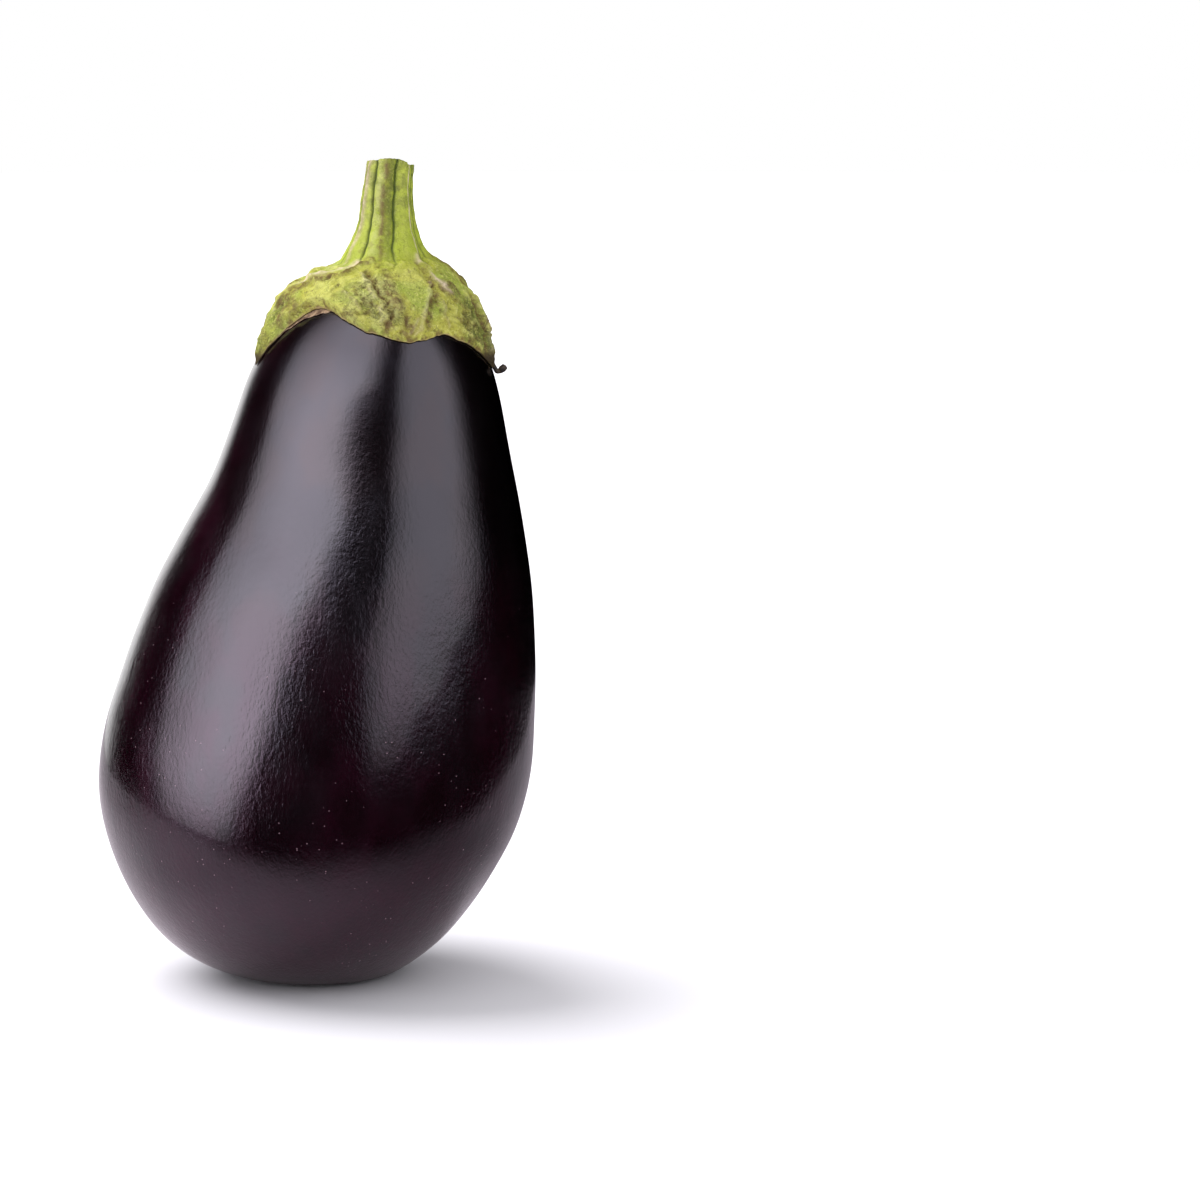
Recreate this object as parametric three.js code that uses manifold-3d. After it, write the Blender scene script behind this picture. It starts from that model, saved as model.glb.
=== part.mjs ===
import * as THREE from "three";
import Module from "manifold-3d";

// Eggplant (aubergine) standing on its blossom end, in millimetres, +Z up.
// The origin is the middle of the small flat that it rests on, and -Y is its front.

// Fruit: height, radius, and how far the middle of that section lies towards +X.
// The handles run from the middle of the resting flat to the middle of the stem end.
const FRUIT_HANDLES = [
  [0, 0, 0],
  [0, 6, 0],
  [0, 12, 0],
  [0, 18, 0],
  [3, 26, -3],
  [11.5, 37.5, -3.5],
  [28, 47.5, -2.5],
  [44, 52.5, -1],
  [60, 52.5, 0.5],
  [76, 50, 3],
  [92, 46.5, 5.5],
  [108, 41.5, 9],
  [124, 35.5, 12],
  [138, 32, 13.4],
  [149, 28.4, 14],
  [158.5, 23.8, 14.6],
  [166.5, 16.5, 15.8],
  [169.8, 7.5, 16.3],
  [170, 0, 16.3],
];
const FRUIT_DEPTH_RATIO = 0.965; // a little shallower front to back than it is wide
const FRUIT_COLUMNS = 64;
const ROWS_PER_HANDLE = 2;

// Blossom scar: a small corky dimple beside the resting flat.
const SCAR_X = -16;
const SCAR_Y = 6;
const SCAR_RADIUS = 4.5;
const SCAR_DEPTH = 0.8;

// Stem: height, radius and middle (towards +X), from the cut down to the shoulder of the cap.
const STEM_STATIONS = [
  [197, 5.6, 18.75],
  [192, 5.85, 18.2],
  [187, 6.3, 17.8],
  [182, 7, 17.8],
  [177.5, 8.6, 17.6],
  [174.2, 10.4, 17.6],
  [172.5, 12.4, 17.9],
];
const STEM_ROWS = 13;
const STEM_BACKWARD = 1.5; // the stem leans this far towards +Y at its cut
const CURVE_TENSION = 0.5; // of the curve down each rib
const CUT_SLANT = 0.4; // the cut is lower on the +X side
const CUT_BACKWARD = 0.75; // and falls away towards the back

// How far the rim stands over the plain cut, all round it: angle (degrees), height (mm).
// The ribs end at different heights, with a step from one to the next.
const RIM_TOPS = [
  [-163, -0.1],
  [-123, -0.2],
  [-121, 0],
  [-95, 0.35],
  [-65, 0.38],
  [-44, -0.13],
  [-42, -0.5],
  [-30, -0.55],
  [0, -0.15],
  [36, 0.2],
  [38, -0.1],
  [78, 0.1],
  [80, -0.2],
  [117, 0.1],
  [119, -0.1],
  [158, 0.1],
  [160, -0.1],
  [197, -0.1],
];

// Grooves between the ribs of the stem: angle round the stem (degrees from +X), depth (mm).
const STEM_GROOVES = [
  [-124, 0.75],
  [-73, 0.8],
  [-21, 0.5],
  [6, 0.7],
  [36, 0.6],
  [78, 0.75],
  [117, 0.6],
  [158, 0.75],
  [197, 0.5],
];
const GROOVE_WIDTH = 7; // degrees to each side

// Cut face: share of the stem's radius, height over the cut's edge.
// A raised skin rim, the sunken woody ring and the domed pith.
const CUT_FACE = [
  [0.25, 0],
  [0.5, -0.1],
  [0.68, -0.5],
  [0.84, -0.25],
  [0.95, 0.1],
];

// Five sepals in turn: angle of the tip, reach of the tip down the fruit from the stem end,
// how blunt the sepal is (0 pointed, 1 round), then angle and reach of the notch after it.
const SEPALS = [
  [-163, 38.3, 0, -127, 21.8],
  [-65, 31, 1, -47, 29.7],
  [-3, 39.8, 0, 27, 23.5],
  [55, 41, 0.2, 90, 22],
  [125, 43, 0, 161, 23],
];
const POINTED_POWER = 1.45; // how slowly a pointed sepal widens from its tip
const ROUNDED_POWER = 1.6; // and a round one
const COLUMN_STEP = 3.6; // degrees
const CAP_REACH = 16; // where the stem's flare has become the cap
const CAP_LEAD_IN = 4; // the stem's curve aims this much further down the cap
const SKIRT_ROWS = 10;
const UNDERSIDE_ROWS = 5;
const GAP = 0.35; // clear of the fruit all over
const CAP_THICKNESS = 3.6;
const LEAF_THICKNESS = 1;
const LEAF_REACH = 36; // where the cap has thinned to a leaf
const EDGE_THINNING = 0.68; // of that thickness, at the very edge
const EDGE_THINS_FROM = 0.75; // share of the way to the edge
const LIP_OUT = 0.3; // the edge is rounded out by this much
const EDGE_LIFT = 0.2;
const EDGE_WAVE_LENGTH = 6.5;
const EDGE_WAVE = 0.5;

// Folds raised on the cap: height, half width, then its line as [angle, reach] points.
const FOLDS = [
  [0.9, 1.8, [-129, 14], [-143, 16], [-157, 20], [-163, 32]],
  [0.9, 1.7, [-83, 14.5], [-77, 18], [-74, 23], [-78, 29]],
  [0.7, 1.3, [-56, 14], [-50, 20], [-61, 30]],
  [0.8, 1.5, [-35, 13.5], [-30, 20], [-24, 26], [-10, 35]],
  [0.5, 1.1, [-44, 20], [-47, 29]],
  [0.9, 1.7, [52, 13.5], [56, 28], [55, 38]],
  [0.9, 1.7, [125, 13.5], [127, 28], [125, 40]],
  [0.9, 4.5, [178, 21], [184, 28]],
  [0.9, 5, [-3, 26], [-5, 34]],
];
const SEAM_DEPTH = 0.55; // valley between two sepals, from the notch up to the stem
const SEAM_WIDTH = 1.4;
const SEAM_TOP_REACH = 13;
const PUCKERS = [
  [9, 0.6],
  [5, 0.4],
]; // length and height of the uneven ground on the sepals
const EDGE_CALM = 0.6; // share of that growth that is gone at the edge
const DEEPEST_SHARE = 1 / 3; // of the thickness, at most, that a valley may take
const CAP_HEART = [16, 0, 150]; // the cap grows outwards from here
const STEM_FOOT = 173; // height where the smooth ribbed stem goes over into the uneven cap
const RIBS_UP = 4; // over this height

// Withered tips: sepal number, points as [reach, height over the fruit, degrees from the tip], radii.
const WITHERED_TIPS = [
  {
    sepal: 2,
    path: [[36.5, 1.2, -2], [39.4, 1.2, 0], [40.8, 1.6, 1], [40.7, 2.7, 2], [39.4, 2.9, 3]],
    radii: [0.6, 0.65, 0.55, 0.75, 0.65],
  },
  {
    sepal: 3,
    path: [[36.5, 1.4, 0], [41, 1.8, 0], [45, 4, 2], [47.5, 7.5, 4], [46.5, 10.5, 6]],
    radii: [0.65, 0.7, 0.55, 0.5, 0.4],
  },
];
const TIP_SIDES = 8;
const TIP_ROWS = 10;
const TIP_END_SHARE = 0.6; // how far its closing point stands out, as a share of its radius

const DEGREE = Math.PI / 180;
const TURN = 2 * Math.PI;
const GOLDEN_ANGLE = Math.PI * (3 - Math.sqrt(5));
const mix = (a, b, share) => a + (b - a) * share;
const smooth = (from, to, value) => THREE.MathUtils.smoothstep(value, from, to);

// Cubic B-spline over the handles. The outline goes on mirrored past both poles.
function handlePoint(handles, place) {
  const last = handles.length - 1;
  const first = Math.min(Math.floor(place), last - 1);
  const f = place - first;
  const weights = [
    (1 - f) ** 3,
    3 * f ** 3 - 6 * f ** 2 + 4,
    -3 * f ** 3 + 3 * f ** 2 + 3 * f + 1,
    f ** 3,
  ];
  const sum = [0, 0, 0];
  weights.forEach((weight, k) => {
    const index = first + k - 1;
    const folded = index < 0 ? -index : index > last ? 2 * last - index : index;
    const side = folded === index ? 1 : -1;
    const [z, r, x] = handles[folded];
    sum[0] += (weight * z) / 6;
    sum[1] += (weight * r * side) / 6;
    sum[2] += (weight * x) / 6;
  });
  return sum;
}

// The fruit's outline by reach: the distance along the skin from the middle of the stem end.
const OUTLINE_SAMPLES = 900;
const outline = [];
for (let i = 0; i <= OUTLINE_SAMPLES; i++) {
  const place = (FRUIT_HANDLES.length - 1) * (1 - i / OUTLINE_SAMPLES);
  const [z, r, x] = handlePoint(FRUIT_HANDLES, place);
  const before = outline[i - 1];
  const reach = before ? before.reach + Math.hypot(z - before.z, r - before.r) : 0;
  outline.push({ reach, z, r, x });
}

function outlineAt(reach) {
  const i = Math.max(1, outline.findIndex((sample) => sample.reach >= reach));
  const a = outline[i - 1];
  const b = outline[i];
  const share = (reach - a.reach) / (b.reach - a.reach);
  const length = Math.hypot(b.z - a.z, b.r - a.r);
  return {
    z: mix(a.z, b.z, share),
    r: mix(a.r, b.r, share),
    x: mix(a.x, b.x, share),
    outR: (a.z - b.z) / length,
    outZ: (b.r - a.r) / length,
  };
}

// A point over the fruit's skin, at an angle round it, a reach down it and a height over it.
function overFruit(angle, reach, height) {
  const at = outlineAt(reach);
  const r = at.r + at.outR * height;
  const y = FRUIT_DEPTH_RATIO * r * Math.sin(angle);
  return new THREE.Vector3(at.x + r * Math.cos(angle), y, at.z + at.outZ * height);
}

// Uneven growth: five sine waves of one length, each in its own direction, about -0.7 to 0.7.
function swell(point, length) {
  const waves = 5;
  let sum = 0;
  for (let i = 0; i < waves; i++) {
    const rise = 1 - (2 * i + 1) / waves;
    const level = Math.sqrt(1 - rise * rise);
    const turn = i * GOLDEN_ANGLE;
    const along = level * (point.x * Math.cos(turn) + point.y * Math.sin(turn)) + point.z * rise;
    sum += Math.sin((along * TURN) / length + i * i);
  }
  return sum / waves;
}

// One closed body from rings of points: a single point at each end and full rings between.
// From the ring numbered turnedFrom on, the quads are split the other way.
function closedBody(rings, turnedFrom = Infinity) {
  const columns = rings[1].length;
  const points = rings.flat();
  const start = (ring) => (ring === 0 ? 0 : 1 + (ring - 1) * columns);
  const index = [];
  for (let j = 0; j < columns; j++) {
    const k = (j + 1) % columns;
    index.push(0, 1 + j, 1 + k);
    for (let ring = 1; ring < rings.length - 2; ring++) {
      const a = start(ring) + j;
      const b = start(ring) + k;
      const c = start(ring + 1) + k;
      const d = start(ring + 1) + j;
      if (ring < turnedFrom) index.push(a, d, c, a, c, b);
      else index.push(a, d, b, b, d, c);
    }
    const foot = start(rings.length - 2);
    index.push(points.length - 1, foot + k, foot + j);
  }
  const geometry = new THREE.BufferGeometry();
  geometry.setAttribute("position", new THREE.Float32BufferAttribute(points.flatMap((p) => p.toArray()), 3));
  geometry.setIndex(index);
  return geometry;
}

// Fruit, from the stem end down to the resting flat.
function fruitGeometry() {
  const rows = (FRUIT_HANDLES.length - 1) * ROWS_PER_HANDLE;
  const rings = [];
  for (let row = rows; row >= 0; row--) {
    const [z, r, x] = handlePoint(FRUIT_HANDLES, row / ROWS_PER_HANDLE);
    const columns = row === 0 || row === rows ? 1 : FRUIT_COLUMNS;
    const ring = [];
    for (let j = 0; j < columns; j++) {
      const angle = (j / columns) * TURN;
      const point = new THREE.Vector3(x + r * Math.cos(angle), FRUIT_DEPTH_RATIO * r * Math.sin(angle), z);
      const fromScar = Math.hypot(point.x - SCAR_X, point.y - SCAR_Y) / SCAR_RADIUS;
      if (z < SCAR_RADIUS) point.z += SCAR_DEPTH * (1 - smooth(0, 1, fromScar));
      ring.push(point);
    }
    rings.push(ring);
  }
  return closedBody(rings);
}

// The cap's columns, with one on each tip and each notch: angle and reach of the edge.
function capColumns() {
  const columns = [];
  SEPALS.forEach(([tipDegrees, tipReach, blunt, notchDegrees, notchReach], i) => {
    const [nextDegrees, nextReach, nextBlunt] = SEPALS[(i + 1) % SEPALS.length];
    const nextTip = nextDegrees > notchDegrees ? nextDegrees : nextDegrees + 360;
    const sides = [
      [tipDegrees, notchDegrees, tipReach, blunt, 1, 0],
      [notchDegrees, nextTip, nextReach, nextBlunt, 0, 1],
    ];
    for (const [from, to, reach, roundness, shareFrom, shareTo] of sides) {
      const steps = Math.round((to - from) / COLUMN_STEP);
      for (let j = 0; j < steps; j++) {
        const share = mix(shareFrom, shareTo, j / steps);
        const pointed = share ** POINTED_POWER;
        const round = Math.sin((share * Math.PI) / 2) ** ROUNDED_POWER;
        const angle = mix(from, to, j / steps) * DEGREE;
        const plain = mix(notchReach, reach, mix(pointed, round, roundness));
        const wave = EDGE_WAVE * swell(overFruit(angle, plain, 0), EDGE_WAVE_LENGTH);
        columns.push({ angle, edge: plain + wave });
      }
    }
  });
  return columns;
}

function rimHeight(angle) {
  const start = RIM_TOPS[0][0];
  const degrees = THREE.MathUtils.euclideanModulo(angle / DEGREE - start, 360) + start;
  const next = RIM_TOPS.findIndex(([at]) => at > degrees);
  const [from, low] = RIM_TOPS[next - 1];
  const [to, high] = RIM_TOPS[next];
  return mix(low, high, (degrees - from) / (to - from));
}

function grooveDepth(angle) {
  let depth = 0;
  for (const [degrees, deep] of STEM_GROOVES) {
    const away = Math.abs(THREE.MathUtils.euclideanModulo(angle / DEGREE - degrees + 180, 360) - 180);
    depth += deep * Math.exp(-((away / GROOVE_WIDTH) ** 2));
  }
  return depth;
}

const plainThickness = (reach) => mix(CAP_THICKNESS, LEAF_THICKNESS, smooth(CAP_REACH, LEAF_REACH, reach));

const seams = SEPALS.map(([, , , degrees, reach]) => [
  -SEAM_DEPTH,
  SEAM_WIDTH,
  [degrees, reach],
  [degrees, SEAM_TOP_REACH],
]);
const creases = [...FOLDS, ...seams].map(([height, width, ...path]) => ({
  height,
  width,
  line: path.map(([degrees, reach]) => overFruit(degrees * DEGREE, reach, GAP + plainThickness(reach))),
}));

// Growth over the plain cap at one point: the strongest fold there, seams and puckers.
function growth(point, along) {
  const near = new THREE.Vector3();
  let raised = 0;
  let sunk = 0;
  for (const { height, width, line } of creases) {
    let away = Infinity;
    for (let i = 1; i < line.length; i++) {
      new THREE.Line3(line[i - 1], line[i]).closestPointToPoint(point, true, near);
      away = Math.min(away, near.distanceTo(point));
    }
    const here = height * Math.exp(-((away / width) ** 2));
    raised = Math.max(raised, here);
    sunk = Math.min(sunk, here);
  }
  const ground = PUCKERS.reduce((sum, [length, height]) => sum + height * swell(point, length), 0);
  return (raised + sunk + ground) * (1 - EDGE_CALM * along);
}

// The same point with its growth.
function grown(point, along, thickness) {
  const outward = point.clone().sub(new THREE.Vector3(...CAP_HEART)).normalize();
  const share = 1 - smooth(STEM_FOOT, STEM_FOOT + RIBS_UP, point.z);
  return point.addScaledVector(outward, share * Math.max(growth(point, along), -thickness * DEEPEST_SHARE));
}

// One column of the cap and stem, from the cut's middle out, down the outside and back underneath.
function capColumn({ angle, edge }) {
  const share = (reach) => (reach - CAP_REACH) / (edge - CAP_REACH);
  const underside = (reach) => GAP + EDGE_LIFT * Math.max(0, share(reach)) ** 3;
  const thinning = (reach) => mix(1, EDGE_THINNING, smooth(EDGE_THINS_FROM, 1, share(reach)));
  const thickness = (reach) => plainThickness(reach) * thinning(reach);
  const plain = (reach) => overFruit(angle, reach, underside(reach) + thickness(reach));
  const rim = rimHeight(angle) - CUT_SLANT * Math.cos(angle) - CUT_BACKWARD * (1 + Math.sin(angle));
  const stations = STEM_STATIONS.map(([z, r, x], i) => {
    const cut = i === 0 ? rim : 0;
    const ribbed = r - grooveDepth(angle) * smooth(STEM_FOOT - RIBS_UP, STEM_FOOT + RIBS_UP, z);
    const y = ribbed * Math.sin(angle) + STEM_BACKWARD * smooth(STEM_FOOT, STEM_STATIONS[0][0], z);
    return new THREE.Vector3(x + ribbed * Math.cos(angle), y, z + cut);
  });
  const capStart = [plain(CAP_REACH), plain(CAP_REACH + CAP_LEAD_IN)];
  const curve = new THREE.CatmullRomCurve3([...stations, ...capStart], false, "catmullrom", CURVE_TENSION);
  const stemShare = stations.length / (stations.length + 1);
  const outside = [];
  for (let i = 0; i <= STEM_ROWS; i++) {
    outside.push(grown(curve.getPoint((stemShare * i) / STEM_ROWS), 0, CAP_THICKNESS));
  }
  const middle = new THREE.Vector3(STEM_STATIONS[0][2], STEM_BACKWARD, STEM_STATIONS[0][0] - CUT_BACKWARD);
  const face = CUT_FACE.map(([out, rise]) => middle.clone().lerp(outside[0], out).setZ(
    mix(middle.z, outside[0].z, out) + rise,
  ));
  const reaches = [];
  for (let i = 1; i <= SKIRT_ROWS; i++) reaches.push(mix(CAP_REACH, edge, i / SKIRT_ROWS));
  const skirt = reaches.map((reach) => grown(plain(reach), share(reach), thickness(reach)));
  const lining = reaches.map((reach) => overFruit(angle, reach, underside(reach))).reverse();
  const lip = overFruit(angle, edge + LIP_OUT, underside(edge) + thickness(edge) / 2);
  const under = [];
  for (let i = 0; i < UNDERSIDE_ROWS; i++) {
    under.push(overFruit(angle, mix(CAP_REACH, 0, i / UNDERSIDE_ROWS), GAP));
  }
  return { upper: [...face, ...outside, ...skirt, lip], lower: [...lining, ...under], middle };
}

// A withered tip: a tube that follows its path and changes width, closed at both ends.
function witheredTip({ sepal, path, radii }) {
  const tipAngle = SEPALS[sepal][0] * DEGREE;
  const points = path.map(([reach, height, degrees]) => overFruit(tipAngle + degrees * DEGREE, reach, height));
  const curve = new THREE.CatmullRomCurve3(points);
  const frames = curve.computeFrenetFrames(TIP_ROWS, false);
  const rings = [[curve.getPointAt(0)]];
  for (let i = 0; i <= TIP_ROWS; i++) {
    const place = (i / TIP_ROWS) * (radii.length - 1);
    const low = Math.min(Math.floor(place), radii.length - 2);
    const radius = mix(radii[low], radii[low + 1], place - low);
    const middle = curve.getPointAt(i / TIP_ROWS);
    const ring = [];
    for (let j = 0; j < TIP_SIDES; j++) {
      const turn = (-j / TIP_SIDES) * TURN;
      const spoke = frames.normals[i].clone().multiplyScalar(Math.cos(turn) * radius);
      spoke.addScaledVector(frames.binormals[i], Math.sin(turn) * radius);
      ring.push(spoke.add(middle));
    }
    rings.push(ring);
  }
  const end = curve.getPointAt(1).addScaledVector(frames.tangents[TIP_ROWS], radii.at(-1) * TIP_END_SHARE);
  rings[0][0].addScaledVector(frames.tangents[0], -radii[0] * TIP_END_SHARE);
  rings.push([end]);
  return closedBody(rings);
}

const wasm = await Module();
wasm.setup();

function solidOf(geometry) {
  const vertProperties = geometry.getAttribute("position").array;
  const triVerts = new Uint32Array(geometry.getIndex().array);
  return new wasm.Manifold(new wasm.Mesh({ numProp: 3, vertProperties, triVerts }));
}

// Cap and stem in one piece, with the withered tips grown on.
function calyxGeometry() {
  const columns = capColumns().map(capColumn);
  const upperRows = columns[0].upper.length;
  const lowerRows = columns[0].lower.length;
  const rings = [[columns[0].middle]];
  for (let row = 0; row < upperRows; row++) rings.push(columns.map((column) => column.upper[row]));
  for (let row = 0; row < lowerRows; row++) rings.push(columns.map((column) => column.lower[row]));
  rings.push([overFruit(0, 0, GAP)]);
  let solid = solidOf(closedBody(rings, upperRows));
  for (const tip of WITHERED_TIPS) solid = solid.add(solidOf(witheredTip(tip)));
  const mesh = solid.getMesh();
  const geometry = new THREE.BufferGeometry();
  geometry.setAttribute("position", new THREE.BufferAttribute(mesh.vertProperties, 3));
  geometry.setIndex(new THREE.BufferAttribute(mesh.triVerts, 1));
  return geometry;
}

const skin = new THREE.MeshStandardMaterial({ color: 0x24101d, roughness: 0.22, metalness: 0 });
const leaf = new THREE.MeshStandardMaterial({ color: 0x9aa457, roughness: 0.75, metalness: 0 });

const fruit = new THREE.Mesh(fruitGeometry(), skin);
fruit.name = "fruit";

const calyx = new THREE.Mesh(calyxGeometry(), leaf);
calyx.name = "calyx_stem";

const eggplant = new THREE.Group();
eggplant.add(fruit, calyx);

export default eggplant;
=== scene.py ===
import math

import bpy
import numpy as np
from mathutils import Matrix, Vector
from mathutils.kdtree import KDTree
from mathutils.noise import ridged_multi_fractal


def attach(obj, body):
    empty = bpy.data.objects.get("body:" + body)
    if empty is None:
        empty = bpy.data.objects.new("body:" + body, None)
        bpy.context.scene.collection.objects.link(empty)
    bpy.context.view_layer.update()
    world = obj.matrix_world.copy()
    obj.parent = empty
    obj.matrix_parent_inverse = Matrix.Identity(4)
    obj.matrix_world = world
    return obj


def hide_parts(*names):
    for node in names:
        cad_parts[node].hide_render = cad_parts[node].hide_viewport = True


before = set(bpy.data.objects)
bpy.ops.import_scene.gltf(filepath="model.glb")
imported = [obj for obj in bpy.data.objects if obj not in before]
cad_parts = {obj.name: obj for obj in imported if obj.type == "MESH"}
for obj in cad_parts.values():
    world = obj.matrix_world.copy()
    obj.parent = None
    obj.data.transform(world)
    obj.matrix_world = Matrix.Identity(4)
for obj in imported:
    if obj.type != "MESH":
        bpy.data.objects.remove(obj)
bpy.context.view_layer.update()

MM = 0.001
TURN = 2 * math.pi

# ------------------------------------------------------------
# The fruit: one dark glossy berry that stands on its blossom end. Its skin is a thin waxy
# peel, nearly black with purple under it, with faint pebbling drawn out along its length
# and a small corky scar underneath, beside the flat that it rests on.

# Height, radius and how far the middle lies towards +X, in mm, from the flat to the stem end.
FRUIT_HANDLES = np.array([
    [0, 0, 0], [0, 6, 0], [0, 12, 0], [0, 18, 0], [3, 26, -3], [11.5, 37.5, -3.5],
    [28, 47.5, -2.5], [44, 52.5, -1], [60, 52.5, 0.5], [76, 50, 3], [92, 46.5, 5.5],
    [108, 41.5, 9], [124, 35.5, 12], [138, 32, 13.4], [149, 28.4, 14], [158.5, 23.8, 14.6],
    [166.5, 16.5, 15.8], [169.8, 7.5, 16.3], [170, 0, 16.3],
])
FRUIT_DEPTH_RATIO = 0.965
FRUIT_COLUMNS = 250
FRUIT_ROWS = 270
SCAR_MIDDLE = np.array([-16.0, 6.0])
SCAR_RADIUS = 4.5
SCAR_DEPTH = 0.8
SCAR_EDGE = (0.5, 1.1)  # shares of its radius over which the cork thins out
SKIN_WAVES = [(46, 0.35), (17, 0.1)]  # length and height of the skin's slow unevenness
CALM_FOOT = (2, 22)  # heights over which the unevenness sets in above the flat
CALM_TOP = (165, 145)  # and dies away again under the calyx

SKIN_DARK = (0.0016, 0.0002, 0.0005, 1)
SKIN_PURPLE = (0.0155, 0.0004, 0.0050, 1)
SKIN_SHEEN = (1.0, 0.84, 0.98, 1)
BLOOM_SHEEN = (0.90, 0.82, 1.0, 1)
BELLY_SHEEN = (1.0, 0.75, 0.98, 1)
SKIN_SPECK = (0.50, 0.32, 0.38, 1)
SCAR_CORK = (0.20, 0.13, 0.075, 1)
SKIN_ROUGHNESS = (0.19, 0.27)  # where it is polished and where bloom dulls it
CORK_ROUGHNESS = 0.85
WAX = 0.5
WAX_ROUGHNESS = 0.09
DRAWN_OUT = (1, 1, 0.55)  # patches and pebbles are longer down the fruit than round it
SPECK_SPACING_MM = 1.3
SPECK_SHARE = 0.72  # this share of the places where a speck could be stays empty
PEBBLE_MM = 0.8
PEBBLE_HEIGHT_MM = 0.17


def smooth(start, end, value):
    share = np.clip((value - start) / (end - start), 0, 1)
    return share * share * (3 - 2 * share)


def handle_points(handles, places):
    """Cubic B-spline over the handles; the outline goes on mirrored past both poles."""
    last = len(handles) - 1
    mirror = np.array([1, -1, 1])
    row = np.vstack([handles[1] * mirror, handles, handles[last - 1] * mirror])
    first = np.minimum(places.astype(int), last - 1)
    f = (places - first)[:, None]
    weights = [(1 - f) ** 3, 3 * f ** 3 - 6 * f ** 2 + 4, -3 * f ** 3 + 3 * f ** 2 + 3 * f + 1, f ** 3]
    return sum(weight * row[first + k] for k, weight in enumerate(weights)) / 6


def swell(points, length):
    """Uneven growth: five sine waves of one length, each in its own direction."""
    waves = 5
    total = 0
    for i in range(waves):
        rise = 1 - (2 * i + 1) / waves
        level = math.sqrt(1 - rise * rise)
        turn = i * math.pi * (3 - math.sqrt(5))
        along = level * (points[..., 0] * math.cos(turn) + points[..., 1] * math.sin(turn))
        total = total + np.sin((along + points[..., 2] * rise) * TURN / length + i * i)
    return total / waves


def new_piece(name, points, faces):
    mesh = bpy.data.meshes.new(name)
    mesh.from_pydata(points, [], faces)
    piece = bpy.data.objects.new(name, mesh)
    bpy.context.collection.objects.link(piece)
    return piece, mesh


def body_of_rings(name, first, rings, last, strips, marks):
    """One closed smooth body from rows of rings with a single point at each end.

    strips gives each row's place in the texture from 0 to 1, and marks holds what the
    material needs to know about each point, by name.
    """
    rows, columns = rings.shape[:2]
    points = np.vstack([first[None], rings.reshape(-1, 3), last[None]]) * MM
    here = np.arange(columns)
    beside = (here + 1) % columns
    start = 1 + np.arange(rows - 1)[:, None] * columns
    quads = np.stack([start + here, start + here + columns, start + beside + columns, start + beside], -1)
    top = np.stack([np.zeros(columns, int), 1 + here, 1 + beside], -1)
    foot = 1 + (rows - 1) * columns
    low = np.stack([np.full(columns, len(points) - 1), foot + beside, foot + here], -1)
    faces = top.tolist() + quads.reshape(-1, 4).tolist() + low.tolist()
    piece, mesh = new_piece(name, points.tolist(), faces)
    mesh.shade_smooth()

    left, right = here / columns, (here + 1) / columns
    flat = np.zeros(columns)
    first_row, last_row = flat + strips[0], flat + strips[-1]
    top_uv = np.stack([(left + right) / 2, flat, left, first_row, right, first_row], -1)
    low_uv = np.stack([(left + right) / 2, flat + 1, right, last_row, left, last_row], -1)
    upper, lower = strips[:-1, None] + flat, strips[1:, None] + flat
    lefts, rights = left + 0 * upper, right + 0 * upper
    quad_uv = np.stack([lefts, upper, lefts, lower, rights, lower, rights, upper], -1)
    uv = mesh.uv_layers.new(name="OFBake")
    uv.data.foreach_set("uv", np.concatenate([top_uv.ravel(), quad_uv.ravel(), low_uv.ravel()]))
    for mark, values in marks.items():
        ends = np.concatenate([[values[0].mean()], values.ravel(), [values[-1].mean()]])
        mesh.attributes.new(mark, "FLOAT", "POINT").data.foreach_set("value", ends)
    mesh.update()
    return piece


def fill(node, inputs):
    """Gives a node its inputs: plain values on its own sockets, and links from other nodes."""
    for name, value in inputs.items():
        if isinstance(value, bpy.types.NodeSocket):
            node.id_data.links.new(value, node.inputs[name])
        else:
            node.inputs[name].default_value = value


def add_node(owner, kind, inputs=(), **settings):
    """A node in a material, world or node group."""
    node = getattr(owner, "node_tree", owner).nodes.new(kind)
    for name, value in settings.items():
        setattr(node, name, value)
    fill(node, dict(inputs))
    return node


def blend_colours(owner, share, low, high):
    """low where share is 0 and high where it is 1."""
    return add_node(owner, "ShaderNodeMix", {0: share, 6: low, 7: high}, data_type="RGBA").outputs[2]


def between(owner, value, low, high, result_low=0.0, result_high=1.0):
    """value turned from low..high into result_low..result_high, held at both ends."""
    inputs = {"Value": value, "From Min": low, "From Max": high,
              "To Min": result_low, "To Max": result_high}
    return add_node(owner, "ShaderNodeMapRange", inputs, interpolation_type="SMOOTHSTEP").outputs["Result"]


def calculate(owner, operation, first, second=0.0):
    return add_node(owner, "ShaderNodeMath", {0: first, 1: second}, operation=operation).outputs[0]


def times(owner, first, second):
    return calculate(owner, "MULTIPLY", first, second)


def attribute(owner, name):
    """A mark that body_of_rings stored with the points of the mesh."""
    return add_node(owner, "ShaderNodeAttribute", attribute_name=name).outputs["Fac"]


def noise(owner, place, size_mm, detail=2.0, roughness=0.5, distortion=0.0):
    """Cloudy noise, about 0.3 to 0.7, with features of this size."""
    inputs = {"Vector": place, "Scale": 1 / (size_mm * MM), "Detail": detail, "Roughness": roughness,
              "Distortion": distortion}
    return add_node(owner, "ShaderNodeTexNoise", inputs).outputs["Fac"]


def start_material(name):
    material = bpy.data.materials.new(name)
    material.use_nodes = True
    return material, material.node_tree.nodes["Principled BSDF"]


OUTLINE_STEPS = 1800
places = np.linspace(len(FRUIT_HANDLES) - 1, 0, OUTLINE_STEPS + 1)
fine = handle_points(FRUIT_HANDLES, places)
steps = np.hypot(np.diff(fine[:, 0]), np.diff(fine[:, 1]))
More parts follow.
